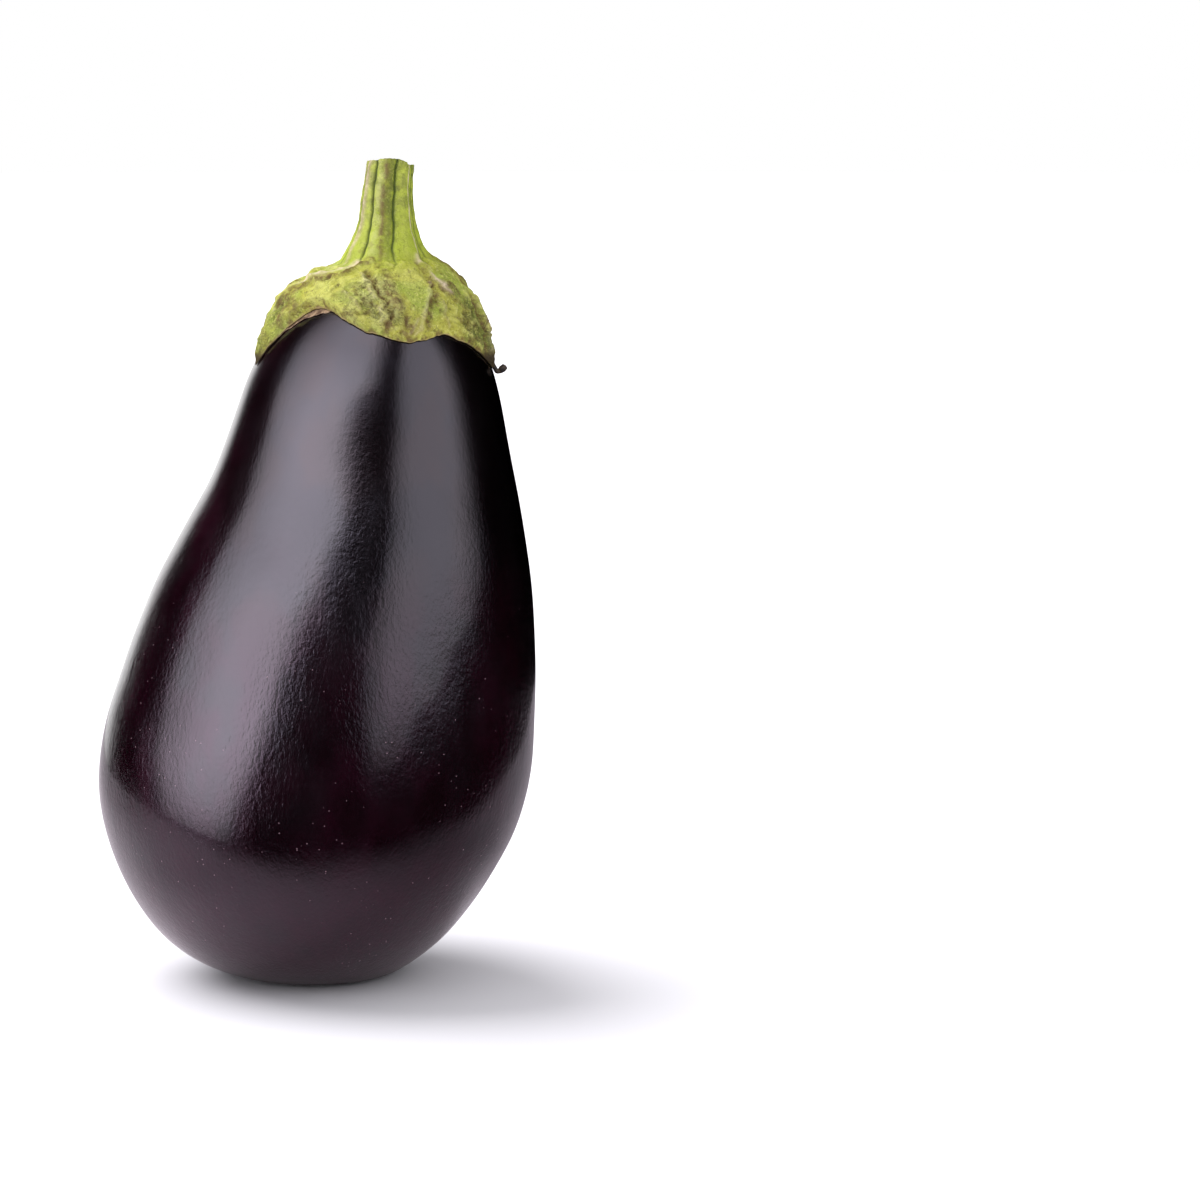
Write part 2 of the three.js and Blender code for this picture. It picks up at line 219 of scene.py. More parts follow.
# The outline from the stem end down: the way over the skin, height, radius and middle, in mm,
# and how far one step outwards goes sideways and up.
OUTLINE = {"reach": np.concatenate([[0], np.cumsum(steps)])}
OUTLINE.update(z=fine[:, 0], r=fine[:, 1], x=fine[:, 2])
OUTLINE["out_r"] = -np.gradient(OUTLINE["z"], OUTLINE["reach"])
OUTLINE["out_z"] = np.gradient(OUTLINE["r"], OUTLINE["reach"])


def over_fruit(angle, reach, height):
    """Points over the skin: angle round it, reach down it from the stem end, height over it."""
    at = {name: np.interp(reach, OUTLINE["reach"], values) for name, values in OUTLINE.items()}
    r = at["r"] + at["out_r"] * height
    x = at["x"] + r * np.cos(angle)
    y = FRUIT_DEPTH_RATIO * r * np.sin(angle)
    z = at["z"] + at["out_z"] * height
    return np.stack(np.broadcast_arrays(x, y, z), -1)


def fruit_rings():
    reach = np.linspace(0, OUTLINE["reach"][-1], FRUIT_ROWS + 2)[1:-1, None]
    angle = np.arange(FRUIT_COLUMNS)[None] / FRUIT_COLUMNS * TURN
    skin = over_fruit(angle, reach, 0)
    height = sum(high * swell(skin, length) for length, high in SKIN_WAVES)
    clear = smooth(*CALM_FOOT, skin[..., 2]) * smooth(*CALM_TOP, skin[..., 2])
    rings = over_fruit(angle, reach, height * clear)
    from_scar = np.hypot(rings[..., 0] - SCAR_MIDDLE[0], rings[..., 1] - SCAR_MIDDLE[1]) / SCAR_RADIUS
    under = rings[..., 2] < SCAR_RADIUS
    rings[..., 2] += np.where(under, SCAR_DEPTH * (1 - smooth(0, 1, from_scar)), 0)
    scar = np.where(under, 1 - smooth(*SCAR_EDGE, from_scar), 0)
    return rings, {"scar": scar}


def skin_material():
    skin, shader = start_material("eggplant_skin")
    place = add_node(skin, "ShaderNodeTexCoord").outputs["Object"]
    drawn_out = add_node(skin, "ShaderNodeMapping", {"Vector": place, "Scale": DRAWN_OUT}).outputs["Vector"]

    # Purple shows in cloudy patches over the belly, near the table and on the left, where it is partly the
    # skin's own purple and partly painted light on the side the light comes from.
    axes = add_node(skin, "ShaderNodeSeparateXYZ", {"Vector": place}).outputs
    # Purple on the left: partly the skin's own, partly painted light.
    purple_and_painted_light_left = between(skin, axes["X"], 0.03, -0.05)
    low = between(skin, axes["Z"], 0.04, 0.02)
    belly = between(skin, axes["Z"], 0.115, 0.07)
    patches = between(skin, noise(skin, drawn_out, 17, 4, 0.6), 0.38, 0.68, 0.3, 1.0)
    coloured = calculate(skin, "MAXIMUM", purple_and_painted_light_left, times(skin, belly, 0.75))
    tint = calculate(skin, "ADD", times(skin, low, 0.35), times(skin, coloured, patches))
    colour = blend_colours(skin, tint, SKIN_DARK, SKIN_PURPLE)

    # Pale specks the size of a pinprick gather here and there on the belly.
    dots = add_node(skin, "ShaderNodeTexVoronoi", {"Vector": place, "Scale": 1 / (SPECK_SPACING_MM * MM)})
    drawn = add_node(skin, "ShaderNodeSeparateColor", {"Color": dots.outputs["Color"]}).outputs["Red"]
    chosen = calculate(skin, "GREATER_THAN", drawn, SPECK_SHARE)
    gathered = times(skin, between(skin, noise(skin, place, 24, 1), 0.44, 0.56), belly)
    near = between(skin, dots.outputs["Distance"], 0.07, 0.14, 1.0, 0.0)
    speck = times(skin, times(skin, near, chosen), gathered)
    colour = blend_colours(skin, times(skin, speck, 0.5), colour, SKIN_SPECK)
    scar = attribute(skin, "scar")
    cork = times(skin, scar, between(skin, noise(skin, place, 1.2, 4), 0.25, 0.6, 0.5, 1.0))
    colour = blend_colours(skin, cork, colour, SCAR_CORK)

    # The wax is a thin polished coat, and the bloom on it dulls and tints what it mirrors.
    bloom = between(skin, noise(skin, drawn_out, 9, 3), 0.3, 0.75, *SKIN_ROUGHNESS)
    rough = add_node(skin, "ShaderNodeMix", {0: scar, 2: bloom, 3: CORK_ROUGHNESS}).outputs[0]
    coat = times(skin, calculate(skin, "SUBTRACT", 1.0, scar), WAX)
    bloomed = between(skin, noise(skin, drawn_out, 15, 3), 0.42, 0.58)
    sheen = blend_colours(skin, bloomed, blend_colours(skin, belly, SKIN_SHEEN, BELLY_SHEEN), BLOOM_SHEEN)

    pebbles = noise(skin, drawn_out, PEBBLE_MM, 2, 0.6, 0.4)
    dents = noise(skin, drawn_out, 6, 2)
    ground = calculate(skin, "ADD", times(skin, pebbles, 0.7), dents)
    pebbled = between(skin, axes["Z"], 0.145, 0.085, 0.35, 1.0)
    bump = add_node(skin, "ShaderNodeBump", {
        "Height": ground, "Strength": pebbled, "Distance": PEBBLE_HEIGHT_MM * MM})
    fill(shader, {"Base Color": colour, "Roughness": rough, "Coat Weight": coat, "Specular Tint": sheen,
                  "Coat Roughness": WAX_ROUGHNESS, "Normal": bump.outputs["Normal"]})
    return skin


rings, marks = fruit_rings()
strips = np.linspace(0, 1, FRUIT_ROWS + 2)[1:-1]
stem_end = over_fruit(0.0, 0.0, 0.0)
rest_middle = over_fruit(0.0, OUTLINE["reach"][-1], 0.0)
fruit = body_of_rings("eggplant_fruit", stem_end, rings, rest_middle, strips, marks)
fruit.data.materials.append(skin_material())
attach(fruit, "root")
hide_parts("fruit")

# ------------------------------------------------------------
# The calyx and stem: five leathery green sepals grown together into a cap over the shoulder
# of the fruit, with puckered veined faces and thin tan edges, going up into a ribbed fleshy
# stem that was cut nearly straight across. It grew as one piece and lies over the skin.

# Height, radius and middle towards +X, in mm, from the cut down to the shoulder of the cap.
STEM_STATIONS = np.array([
    [197, 5.6, 18.75], [192, 5.85, 18.2], [187, 6.3, 17.8], [182, 7, 17.8], [177.5, 8.6, 17.6],
    [174.2, 10.4, 17.6], [172.5, 12.4, 17.9],
])
STEM_BACKWARD = 1.5
STEM_FOOT = 173
RIBS_UP = 4
CUT_SLANT = 0.4
CUT_BACKWARD = 0.75
CUT_UNEVEN = 0.03
# How far the rim of the cut stands over the plain cut, in degrees round it and mm: the ribs
# end in steps.
CUT_TOPS = [(-163, -0.1), (-123, -0.2), (-121, 0.0), (-95, 0.35), (-65, 0.38), (-44, -0.13), (-42, -0.5),
            (-30, -0.55), (0, -0.15), (36, 0.2), (38, -0.1), (78, 0.1), (80, -0.2), (117, 0.1), (119, -0.1),
            (158, 0.1), (160, -0.1)]
# Lines that run down the stem: how far they rise and their half width, in mm, and what they mark.
LINE_KINDS = {
    # Grooves are sunk and also darkened, as painted shade.
    "groove": (-0.8, 0.34, {"groove": 1.0}),
    "slit": (-0.4, 0.26, {"groove": 0.8}),
    "brown rib": (0.3, 0.8, {"brown": 0.8}),
    "tan band": (0.15, 0.95, {"brown": 0.5, "pale": 0.6}),
    "thread": (0.25, 0.22, {"pale": 0.9}),
    "grey strip": (0.0, 1.4, {"grey": 0.55}),
    # The dark strips are painted shade on rib walls turned from the light, and the light strips painted
    # light on those turned to it.
    "dark strip": (0.0, 0.8, {"dark": 0.75}),
    "light strip": (0.0, 1.6, {"light": 0.4}),
}
# Each line's kind and its degrees round the stem at the cut, half way and at the foot.
STEM_LINES = [
    ("groove", -126, -123, -122), ("groove", -71, -73, -78), ("slit", -19, -21, -27),
    ("groove", 8, 6, 4), ("groove", 36, 36, 36), ("slit", 78, 78, 78), ("groove", 117, 117, 117),
    ("groove", 158, 158, 158), ("slit", 197, 197, 197), ("grey strip", -110, -110, -109),
    ("dark strip", -80, -83, -86), ("light strip", -135, -132, -130), ("light strip", -55, -53, -58),
    ("slit", -33, -31, -35), ("tan band", -150, -147, -149), ("brown rib", -94, -97, -96),
    ("thread", -36, -34, -38), ("tan band", 22, 20, 24), ("brown rib", 58, 57, 60),
    ("thread", 98, 100, 99), ("brown rib", 140, 139, 143), ("tan band", 180, 178, 176),
]
# Share of the stem's radius and height over the cut's edge: rim, woody ring and domed pith.
CUT_FACE = [(0.12, -0.3), (0.25, -0.28), (0.38, -0.3), (0.5, -0.35), (0.6, -0.45), (0.68, -0.55),
            (0.76, -0.5), (0.84, -0.35), (0.9, -0.18), (0.95, -0.05), (0.98, 0.0)]
# Tip angle, tip reach, bluntness, then angle and reach of the notch that follows.
SEPALS = [(-163, 38.3, 0, -127, 21.8), (-65, 31, 1, -47, 29.7), (-3, 39.8, 0, 27, 23.5),
          (55, 41, 0.2, 90, 22), (125, 43, 0, 161, 23)]
POINTED_POWER = 1.45
ROUNDED_POWER = 1.6
COLUMN_STEP = 0.72
STEM_ROWS = 70
SKIRT_ROWS = 104
LINING_EVERY = 13
UNDERSIDE_ROWS = 3
# The cap is thick and fleshy as far as its reach and thins out to a leaf, all in mm.
CAP_REACH = 16
GAP = 0.35
EDGE_GAP = 0.1
CAP_THICKNESS = 3.6
LEAF_THICKNESS = 1
LEAF_REACH = 36
EDGE_HEIGHT = 0.4
EDGE_WAVES = [(6.5, 0.5), (2.3, 0.25), (1.1, 0.1)]
RIM_STARTS = 0.86  # share of the way down a sepal where it thins out to its edge
# Broad folds: height, half width, then the line as angle and reach.
FOLDS = [
    (0.9, 1.8, (-129, 14), (-143, 16), (-157, 20), (-163, 32)),
    (0.9, 1.7, (-83, 14.5), (-77, 18), (-74, 23), (-78, 29)),
    (0.7, 1.3, (-56, 14), (-50, 20), (-61, 30)),
    (0.8, 1.5, (-35, 13.5), (-30, 20), (-24, 26), (-10, 35)),
    (0.5, 1.1, (-44, 20), (-47, 29)),
    (0.9, 1.7, (52, 13.5), (56, 28), (55, 38)),
    (0.9, 1.7, (125, 13.5), (127, 28), (125, 40)),
    (0.9, 4.5, (178, 21), (184, 28)),
    (0.9, 5, (-3, 26), (-5, 34)),
]
SEAM_DEPTH = 0.55
SEAM_WIDTH = 1.4
SEAM_TOP_REACH = 13
# Sharp creases. Each kind says its rise and half width in mm, how brown it is and how pale,
# then its creases, each a line of angles and reaches.
CREASES = {
    "crest": ((0.6, 0.65, 0.95, 0.0), [
        [(-98, 9.9), (-106, 10.4), (-114, 11.4), (-116, 13.7), (-121, 15.5), (-130, 16), (-138, 17.1),
         (-148, 18.3), (-150, 20.4), (-152, 21.8), (-148, 23.1)], [(-4, 11), (2, 17), (9, 21), (14, 24)],
    ]),
    # The pale of the papery band is partly painted sheen.
    "papery": ((0.1, 1.3, 0.0, 1.0), [
        [(-119, 9.8), (-130, 11.7), (-131, 13.5), (-135, 14.8), (-141, 15.7), (-156, 16.3), (-156, 18)],
    ]),
    # The pale along the midrib is partly painted highlight on its ridge.
    "midrib": ((0.3, 0.75, 0.0, 1.0), [
        [(-41, 10.4), (-41, 12.8), (-39.5, 14.5), (-39, 16.3), (-37, 18.3), (-36, 20.2)],
    ]),
    "soft midrib": ((0.3, 0.5, 0.1, 0.45), [
        [(48, 10), (52, 16), (56, 28), (55, 38)], [(118, 10), (123, 16), (127, 28), (125, 40)],
        [(186, 12), (190, 20), (196, 30)],
    ]),
    # The dark rims run along the cap's outlines on the left and right; their brown is partly painted shade.
    "dark rim": ((0.2, 0.45, 0.95, 0.0), [
        [(-179, 15), (-179, 20), (-178, 24), (-177, 27), (-175, 30), (-170, 33)],
        [(-2, 18), (-1, 22), (-2, 26), (-2, 30), (-2, 34), (-3, 37)],
    ]),
    # The pale on the fold crests is painted highlight.
    "fold crest": ((0.95, 0.75, 0.1, 0.3), [
        [(-102.5, 14.2), (-96.5, 16.1), (-92.5, 18.7), (-90, 20.6), (-87.5, 21.8), (-85, 23.2),
         (-83.8, 24.6), (-82.8, 26.2), (-82.8, 27.4), (-83.5, 29)],
        [(-47.5, 17.7), (-54.5, 22.1), (-58.5, 25), (-61, 27), (-64.5, 30)],
        [(-7, 23), (-5, 25), (-5, 27), (-3, 28.5), (-2, 30.3), (-7, 32.3), (-11, 34.6), (-9, 36.4)],
    ]),
    # The brown along the fold shadows is painted shadow beside the fold crests.
    "fold shadow": ((-0.95, 0.55, 1.0, 0.0), [
        [(-100, 13.4), (-94, 15.3), (-90, 17.9), (-87, 19.8), (-84, 20.9), (-81, 22.4), (-80, 24.1),
         (-79, 26), (-79, 27.3), (-80, 28.7), (-82, 30.5)],
        [(-44, 17), (-50.5, 21.5), (-55.5, 25), (-58.5, 28)],
        [(-12, 22.6), (-10, 24.4), (-10, 26.5), (-8, 28), (-7, 30.1), (-12, 31.9), (-16, 34.4),
         (-13, 36.1)],
    ]),
    # The pale on the ridges is painted highlight.
    "ridge": ((0.85, 0.6, 0.4, 0.2), [
        [(-109, 20.1), (-103, 21.4), (-98, 23), (-95, 24.2)], [(-63.5, 26.5), (-66.5, 29), (-70, 31)],
        [(-43.5, 23), (-46.5, 26.2), (-45, 28), (-42, 31)], [(62, 17), (70, 22), (78, 24)],
        [(112, 16), (104, 21), (97, 24)],
    ]),
    "scorched": ((0.15, 1.3, 0.85, 0.0), [
        [(-161, 24.2), (-152, 22), (-142, 24)], [(-154, 20), (-151, 23), (-151, 26), (-150, 28)],
        [(-82, 18), (-79, 20.2), (-76, 22.1), (-74, 23.2)], [(-68, 28.5), (-69, 31)],
        [(-37, 19.5), (-33, 18.6), (-30, 19.1)], [(80, 17), (88, 20)], [(158, 17), (161, 21)],
    ]),
    # The brown in the valleys is painted shade.
    "valley": ((-0.85, 0.45, 1.0, 0.0), [
        [(-69.5, 26), (-72, 29.4), (-74.5, 31.5)], [(-49.5, 17.2), (-48, 20.2), (-48, 22.4)],
        [(44, 19), (36, 23), (33, 26)], [(133, 18), (143, 23), (150, 25)],
    ]),
    "wrinkle": ((-0.5, 0.32, 0.6, 0.0), [
        [(-126, 16), (-133, 18), (-140, 19)], [(-150, 22), (-143, 24.5), (-139, 24)],
        [(-158, 24), (-164, 28), (-166, 34)], [(-93, 11.2), (-86, 12.6), (-82, 14.9), (-77, 16.5)],
        [(-82, 15), (-78, 18), (-75, 20.5)],
        [(-107, 18), (-101, 19.4), (-96, 21.6), (-92, 22.4), (-89, 22.6)],
        [(-99, 18.2), (-93, 19.5), (-90.5, 20.2)], [(-104, 24.5), (-96, 25.4), (-90, 24.6)],
        [(-100, 27), (-92, 28)], [(-95, 22.8), (-88, 23.6), (-84, 22.6)],
        [(-68, 27.5), (-66, 30), (-67, 31.5)], [(-44.5, 11.5), (-43.5, 14.5), (-42, 17), (-38.5, 20.8)],
        [(-33.5, 17.5), (-31, 19.4), (-29, 22)], [(-24, 20.5), (-22.5, 22), (-23, 24.5)],
        [(-33, 22.5), (-28, 24), (-20.5, 25.2), (-14, 25)],
        [(-37.5, 26.7), (-31.5, 27.7), (-22, 28.9), (-15, 28.5)],
        [(-36, 30.5), (-30, 31.6), (-19.5, 32.3)], [(-28, 24.5), (-27, 27), (-29, 30)],
        [(48, 26), (42, 28), (40, 31)], [(63, 24), (68, 27), (66, 31)], [(113, 23), (108, 27), (112, 31)],
        [(136, 26), (142, 29)],
    ]),
}
PUCKERS = [(9, 0.6), (5, 0.4)]
CAP_HEART = np.array([16, 0, 150])
# The crumpled face: width of its ridges and how far they rise, in mm, coarse and fine.
CRUMPLES = [(4.6, 0.46), (1.8, 0.17)]
# Veins between pillows of leaf: size of a pillow, how far from the stem end they start and how
# far on they go, and depth and half width of the vein, all in mm.
PILLOW_SIZE = 2.6
PILLOWS_START = 10
PILLOWS_REACH = 34
PILLOWS_AREA = TURN * 26 * 32
VEIN_DEPTH = 0.3
VEIN_WIDTH = 0.24
# Places where the leaf is smooth, grey, dark or light: angle, reach, radius in mm, strength. The dark
# places are partly painted shade and the light places painted light, for light that falls weaker on the
# right of the cap and stronger on its left.
LEAF_PLACES = {"smooth": [
    (-100, 20, 4, 0.45), (-60, 17.5, 5.5, 0.8), (-52, 25.5, 3, 0.9), (-118, 23, 3.4, 0.6),
    (-45, 12, 5, 0.8), (70, 15, 5, 0.8), (140, 16, 6, 0.8),
], "grey": [
    (-90, 19, 4.5, 1.0), (-82, 24, 4, 0.9), (-100, 24.5, 3, 0.6), (40, 22, 5, 0.7), (110, 24, 6, 0.8),
], "dark": [
    (-20, 29, 6, 1.0), (-8, 34, 6, 0.9), (-30, 20, 3.5, 0.5), (-160, 25, 5, 0.5), (-164, 33, 5, 0.7),
    (-76, 21.5, 2.2, 0.7), (-75, 25.5, 2.2, 0.6), (20, 24, 5, 0.6), (100, 20, 5, 0.5), (175, 26, 5, 0.5),
], "light": [
    (-128, 20, 4, 1.0), (-112, 23, 3.5, 0.8), (-62, 16, 4.5, 0.7), (-140, 12.5, 3, 0.9),
    (-108, 11, 3, 0.5), (60, 17, 5, 0.8), (130, 21, 5, 0.7), (-170, 20, 4, 0.6),
]}

LEAF_YELLOW = (0.42, 0.41, 0.052, 1)
LEAF_GREEN = (0.33, 0.39, 0.048, 1)
LEAF_GREY = (0.57, 0.57, 0.20, 1)
LEAF_LIGHT = (0.62, 0.62, 0.16, 1)
LEAF_DARK_AND_SHADE = (0.080, 0.085, 0.014, 1)
LEAF_BROWN = (0.14, 0.078, 0.020, 1)
LEAF_PALE = (0.74, 0.58, 0.46, 1)
VEIN_DARK = (0.070, 0.065, 0.012, 1)
STEM_GREEN = (0.165, 0.20, 0.011, 1)
STEM_LIGHT = (0.39, 0.47, 0.025, 1)
GROOVE_SHADE = (0.040, 0.070, 0.008, 1)
EDGE_TAN = (0.45, 0.33, 0.15, 1)
DRIED_DARK = (0.045, 0.028, 0.010, 1)
PITH = [(0.35, 0.20, 0.08, 1), (0.62, 0.47, 0.26, 1)]
PITH_RING = (0.11, 0.05, 0.02, 1)
PITH_RIM = (0.66, 0.62, 0.38, 1)
LEAF_ROUGHNESS = (0.45, 0.68)
LEAF_MIRRORING = 0.25
LEAF_GRAIN_MM = 0.24


def plain_thickness(reach):
    return CAP_THICKNESS + (LEAF_THICKNESS - CAP_THICKNESS) * smooth(CAP_REACH, LEAF_REACH, reach)


def cap_columns():
    """Angle and reach of the edge, all round the cap."""
    angles, edges = [], []
    for i, (tip, reach, blunt, notch, notch_reach) in enumerate(SEPALS):
        next_tip, next_reach, next_blunt = SEPALS[(i + 1) % len(SEPALS)][:3]
        next_tip += 360 if next_tip < notch else 0
        falling_side = (tip, notch, reach, blunt, False)
        rising_side = (notch, next_tip, next_reach, next_blunt, True)
        for begin, end, top, roundness, rising in (falling_side, rising_side):
            count = round((end - begin) / COLUMN_STEP)
            along = np.arange(count) / count
            share = along if rising else 1 - along
            pointed = share ** POINTED_POWER
            rounded = np.sin(share * math.pi / 2) ** ROUNDED_POWER
            angle = np.radians(begin + (end - begin) * along)
            plain = notch_reach + (top - notch_reach) * (pointed + (rounded - pointed) * roundness)
            skin = over_fruit(angle, plain, 0)
            angles.append(angle)
            edges.append(plain + sum(high * swell(skin, length) for length, high in EDGE_WAVES))
    return np.concatenate(angles), np.concatenate(edges)


def distance_to_line(points, line):
    """Shortest distance from every point to a line of straight stretches."""
    nearest = np.full(points.shape[:-1], np.inf)
    for a, b in zip(line[:-1], line[1:]):
        reach = b - a
        share = np.clip(((points - a) @ reach) / (reach @ reach), 0, 1)
        nearest = np.minimum(nearest, np.linalg.norm(points - a - share[..., None] * reach, axis=-1))
    return nearest


def cap_line(path):
    """A line over the cap from its angles and reaches; close to the stem it runs up its foot."""
    degrees, reach = np.array(path, float).T
    line = over_fruit(np.radians(degrees), reach, GAP + plain_thickness(reach))
    from_stem = np.hypot(line[:, 0] - STEM_STATIONS[-1][2], line[:, 1])
    on_stem = np.interp(from_stem, STEM_STATIONS[:, 1], STEM_STATIONS[:, 0], right=0)
    line[:, 2] = np.maximum(line[:, 2], on_stem)
    return line


def bend(points, length, by):
    """The points pushed about, so that a straight line drawn through them wanders."""
    turned = points[..., [1, 2, 0]]
    pushes = [swell(turned + start, length) for start in (0, 11, 23)]
    return points + by * np.stack(pushes, -1)


def vein_distance(points):
    """How far each point is from the veins round its own pillow of leaf."""
    count = round(PILLOWS_AREA / PILLOW_SIZE ** 2)
    seed = np.random.default_rng(5)
    turn = np.arange(count) * math.pi * (3 - math.sqrt(5)) + seed.uniform(-0.04, 0.04, count)
    outwards = np.sqrt((np.arange(count) + 0.5) / count)
    reach = PILLOWS_START + PILLOWS_REACH * outwards + seed.uniform(-1, 1, count)
    middles = over_fruit(turn, reach, GAP + plain_thickness(reach))
    tree = KDTree(count)
    for i, middle in enumerate(middles):
        tree.insert(middle, i)
    tree.balance()
    bent = bend(bend(points, 7, 1.2), 2.6, 0.55).reshape(-1, 3)
    found = [tree.find_n(point, 2) for point in bent]
    return np.array([far[2] - near[2] for near, far in found]).reshape(points.shape[:-1])


def places_marked(points, marked_places):
    """1 in the middle of the marked places times their strength, fading out over their radius."""
    mark = np.zeros(points.shape[:-1])
    wandering = bend(points, 6, 1.5)
    for degrees, reach, radius, strength in marked_places:
        middle = over_fruit(math.radians(degrees), reach, 2.0)
        away = np.linalg.norm(wandering - middle, axis=-1) / radius
        mark = np.maximum(mark, strength * np.exp(-away ** 4))
    return mark


def crumpled(points, width):
    """Sharp crests of a crumpled leaf and rounded hollows between them, -1 to 1."""
    flat = (bend(points, 4, 0.5) / width).reshape(-1, 3).tolist()
    crests = [ridged_multi_fractal(place, 1.0, 2.1, 2, 1.0, 1.5) for place in flat]
    return np.clip(np.array(crests).reshape(points.shape[:-1]) * 2 - 1.6, -1, 1)


def growth(points, along):
    """Height of everything that grew on the plain cap, and the masks that colour it."""
    raised, sunk, brown, pale, cut_in = (np.zeros(points.shape[:-1]) for _ in range(5))
    seams = [(-SEAM_DEPTH, SEAM_WIDTH, (notch, reach), (notch, SEAM_TOP_REACH))
             for _, _, _, notch, reach in SEPALS]
    for height, width, *path in FOLDS + seams:
        here = height * np.exp(-(distance_to_line(points, cap_line(path)) / width) ** 2)
        raised = np.maximum(raised, here)
        sunk = np.minimum(sunk, here)
    wandering = bend(points, 3.2, 0.75)
    creases = [(kind, path) for kind, paths in CREASES.values() for path in paths]
    for (height, width, browned, paled), path in creases:
        away = distance_to_line(wandering, cap_line(path))
        cut_in = cut_in + height * np.exp(-(away / width) ** 2)
        brown = np.maximum(brown, browned * np.exp(-(away / (width + 0.35)) ** 2))
        pale = np.maximum(pale, paled * np.exp(-(away / (width * 0.7)) ** 2))
    marks = {name: places_marked(points, places) for name, places in LEAF_PLACES.items()}
    rough = 1 - marks.pop("smooth")
    rough = rough * (0.55 + 0.45 * smooth(-0.25, 0.3, swell(points + 40, 12)))
    coarse, fine_crests = (crumpled(points, width) for width, _ in CRUMPLES)
    busy = 0.3 + 0.7 * np.maximum(marks["grey"], marks["dark"])
    fine_crests = fine_crests * busy
    vein = np.exp(-(vein_distance(points) / VEIN_WIDTH) ** 2) * rough * busy
    ground = sum(high * swell(points, length) for length, high in PUCKERS)
    heights = (raised + sunk + ground) * (1 - 0.6 * along) + np.clip(cut_in, -0.9, 0.9) * (1 - 0.3 * along)
    crumpling = CRUMPLES[0][1] * coarse + CRUMPLES[1][1] * fine_crests
    heights = heights + rough * crumpling - vein * VEIN_DEPTH
    heights = heights * (1 - 0.75 * smooth(RIM_STARTS, 1, along))
    # crest: how high each point lies on the crumples, used for painted light on the crests and painted
    # shade in the hollows.
    crest = 0.5 + 0.5 * rough * (0.6 * coarse + 0.4 * fine_crests)
    marks.update(brown=brown, pale=pale, vein=vein, crest=crest)
    return heights, marks


def grown(points, along, thickness):
    """The plain cap with everything that grew on it, away from the heart of the fruit."""
    outward = points - CAP_HEART
    outward = outward / np.linalg.norm(outward, axis=-1, keepdims=True)
    share = 1 - smooth(STEM_FOOT, STEM_FOOT + RIBS_UP, points[..., 2])
    heights, marks = growth(points, along)
    heights = np.maximum(heights, -thickness / 2) * share
    marks = {name: mark * share for name, mark in marks.items()}
    return points + outward * heights[..., None], marks


def through_stations(stations, places):
    """Catmull-Rom curve through the stations (stations x columns x 3) at these places."""
    before = 2 * stations[:1] - stations[1:2]
    after = 2 * stations[-1:] - stations[-2:-1]
    row = np.concatenate([before, stations, after])
    first = np.minimum(places.astype(int), len(stations) - 2)
    f = (places - first)[:, None, None]
    p0, p1, p2, p3 = (row[first + k] for k in range(4))
    slope_1, slope_2 = (p2 - p0) / 2, (p3 - p1) / 2
    turn = 2 * p1 - 2 * p2 + slope_1 + slope_2
    bend_in = -3 * p1 + 3 * p2 - 2 * slope_1 - slope_2
    return turn * f ** 3 + bend_in * f ** 2 + slope_1 * f + p1


def stem_lines(angle, down, radius):
    """Push outwards and masks of the lines down the stem. down: 0 at the cut, 1 at the foot."""
    push = 0 * angle * down
    marks = {name: push for name in ("groove", "brown", "pale", "grey", "dark", "light")}
    for number, (kind, *degrees) in enumerate(STEM_LINES):
        rise, width, marked = LINE_KINDS[kind]
        wander = 1.1 * np.sin(down * 17 + number * 2.4) + 0.6 * np.sin(down * 41 + number)
        turned = np.interp(down, [0, 0.5, 1], degrees) + wander
        away = np.radians((np.degrees(angle) - turned + 180) % 360 - 180) * radius
        near = np.exp(-(away / width) ** 2)
        wide = np.exp(-(away / (3 * width)) ** 2)
        push = push + rise * (near if rise > 0 else 0.6 * near + 0.4 * wide)
        for name, strength in marked.items():
            marks[name] = np.maximum(marks[name], strength * near)
    return push, marks


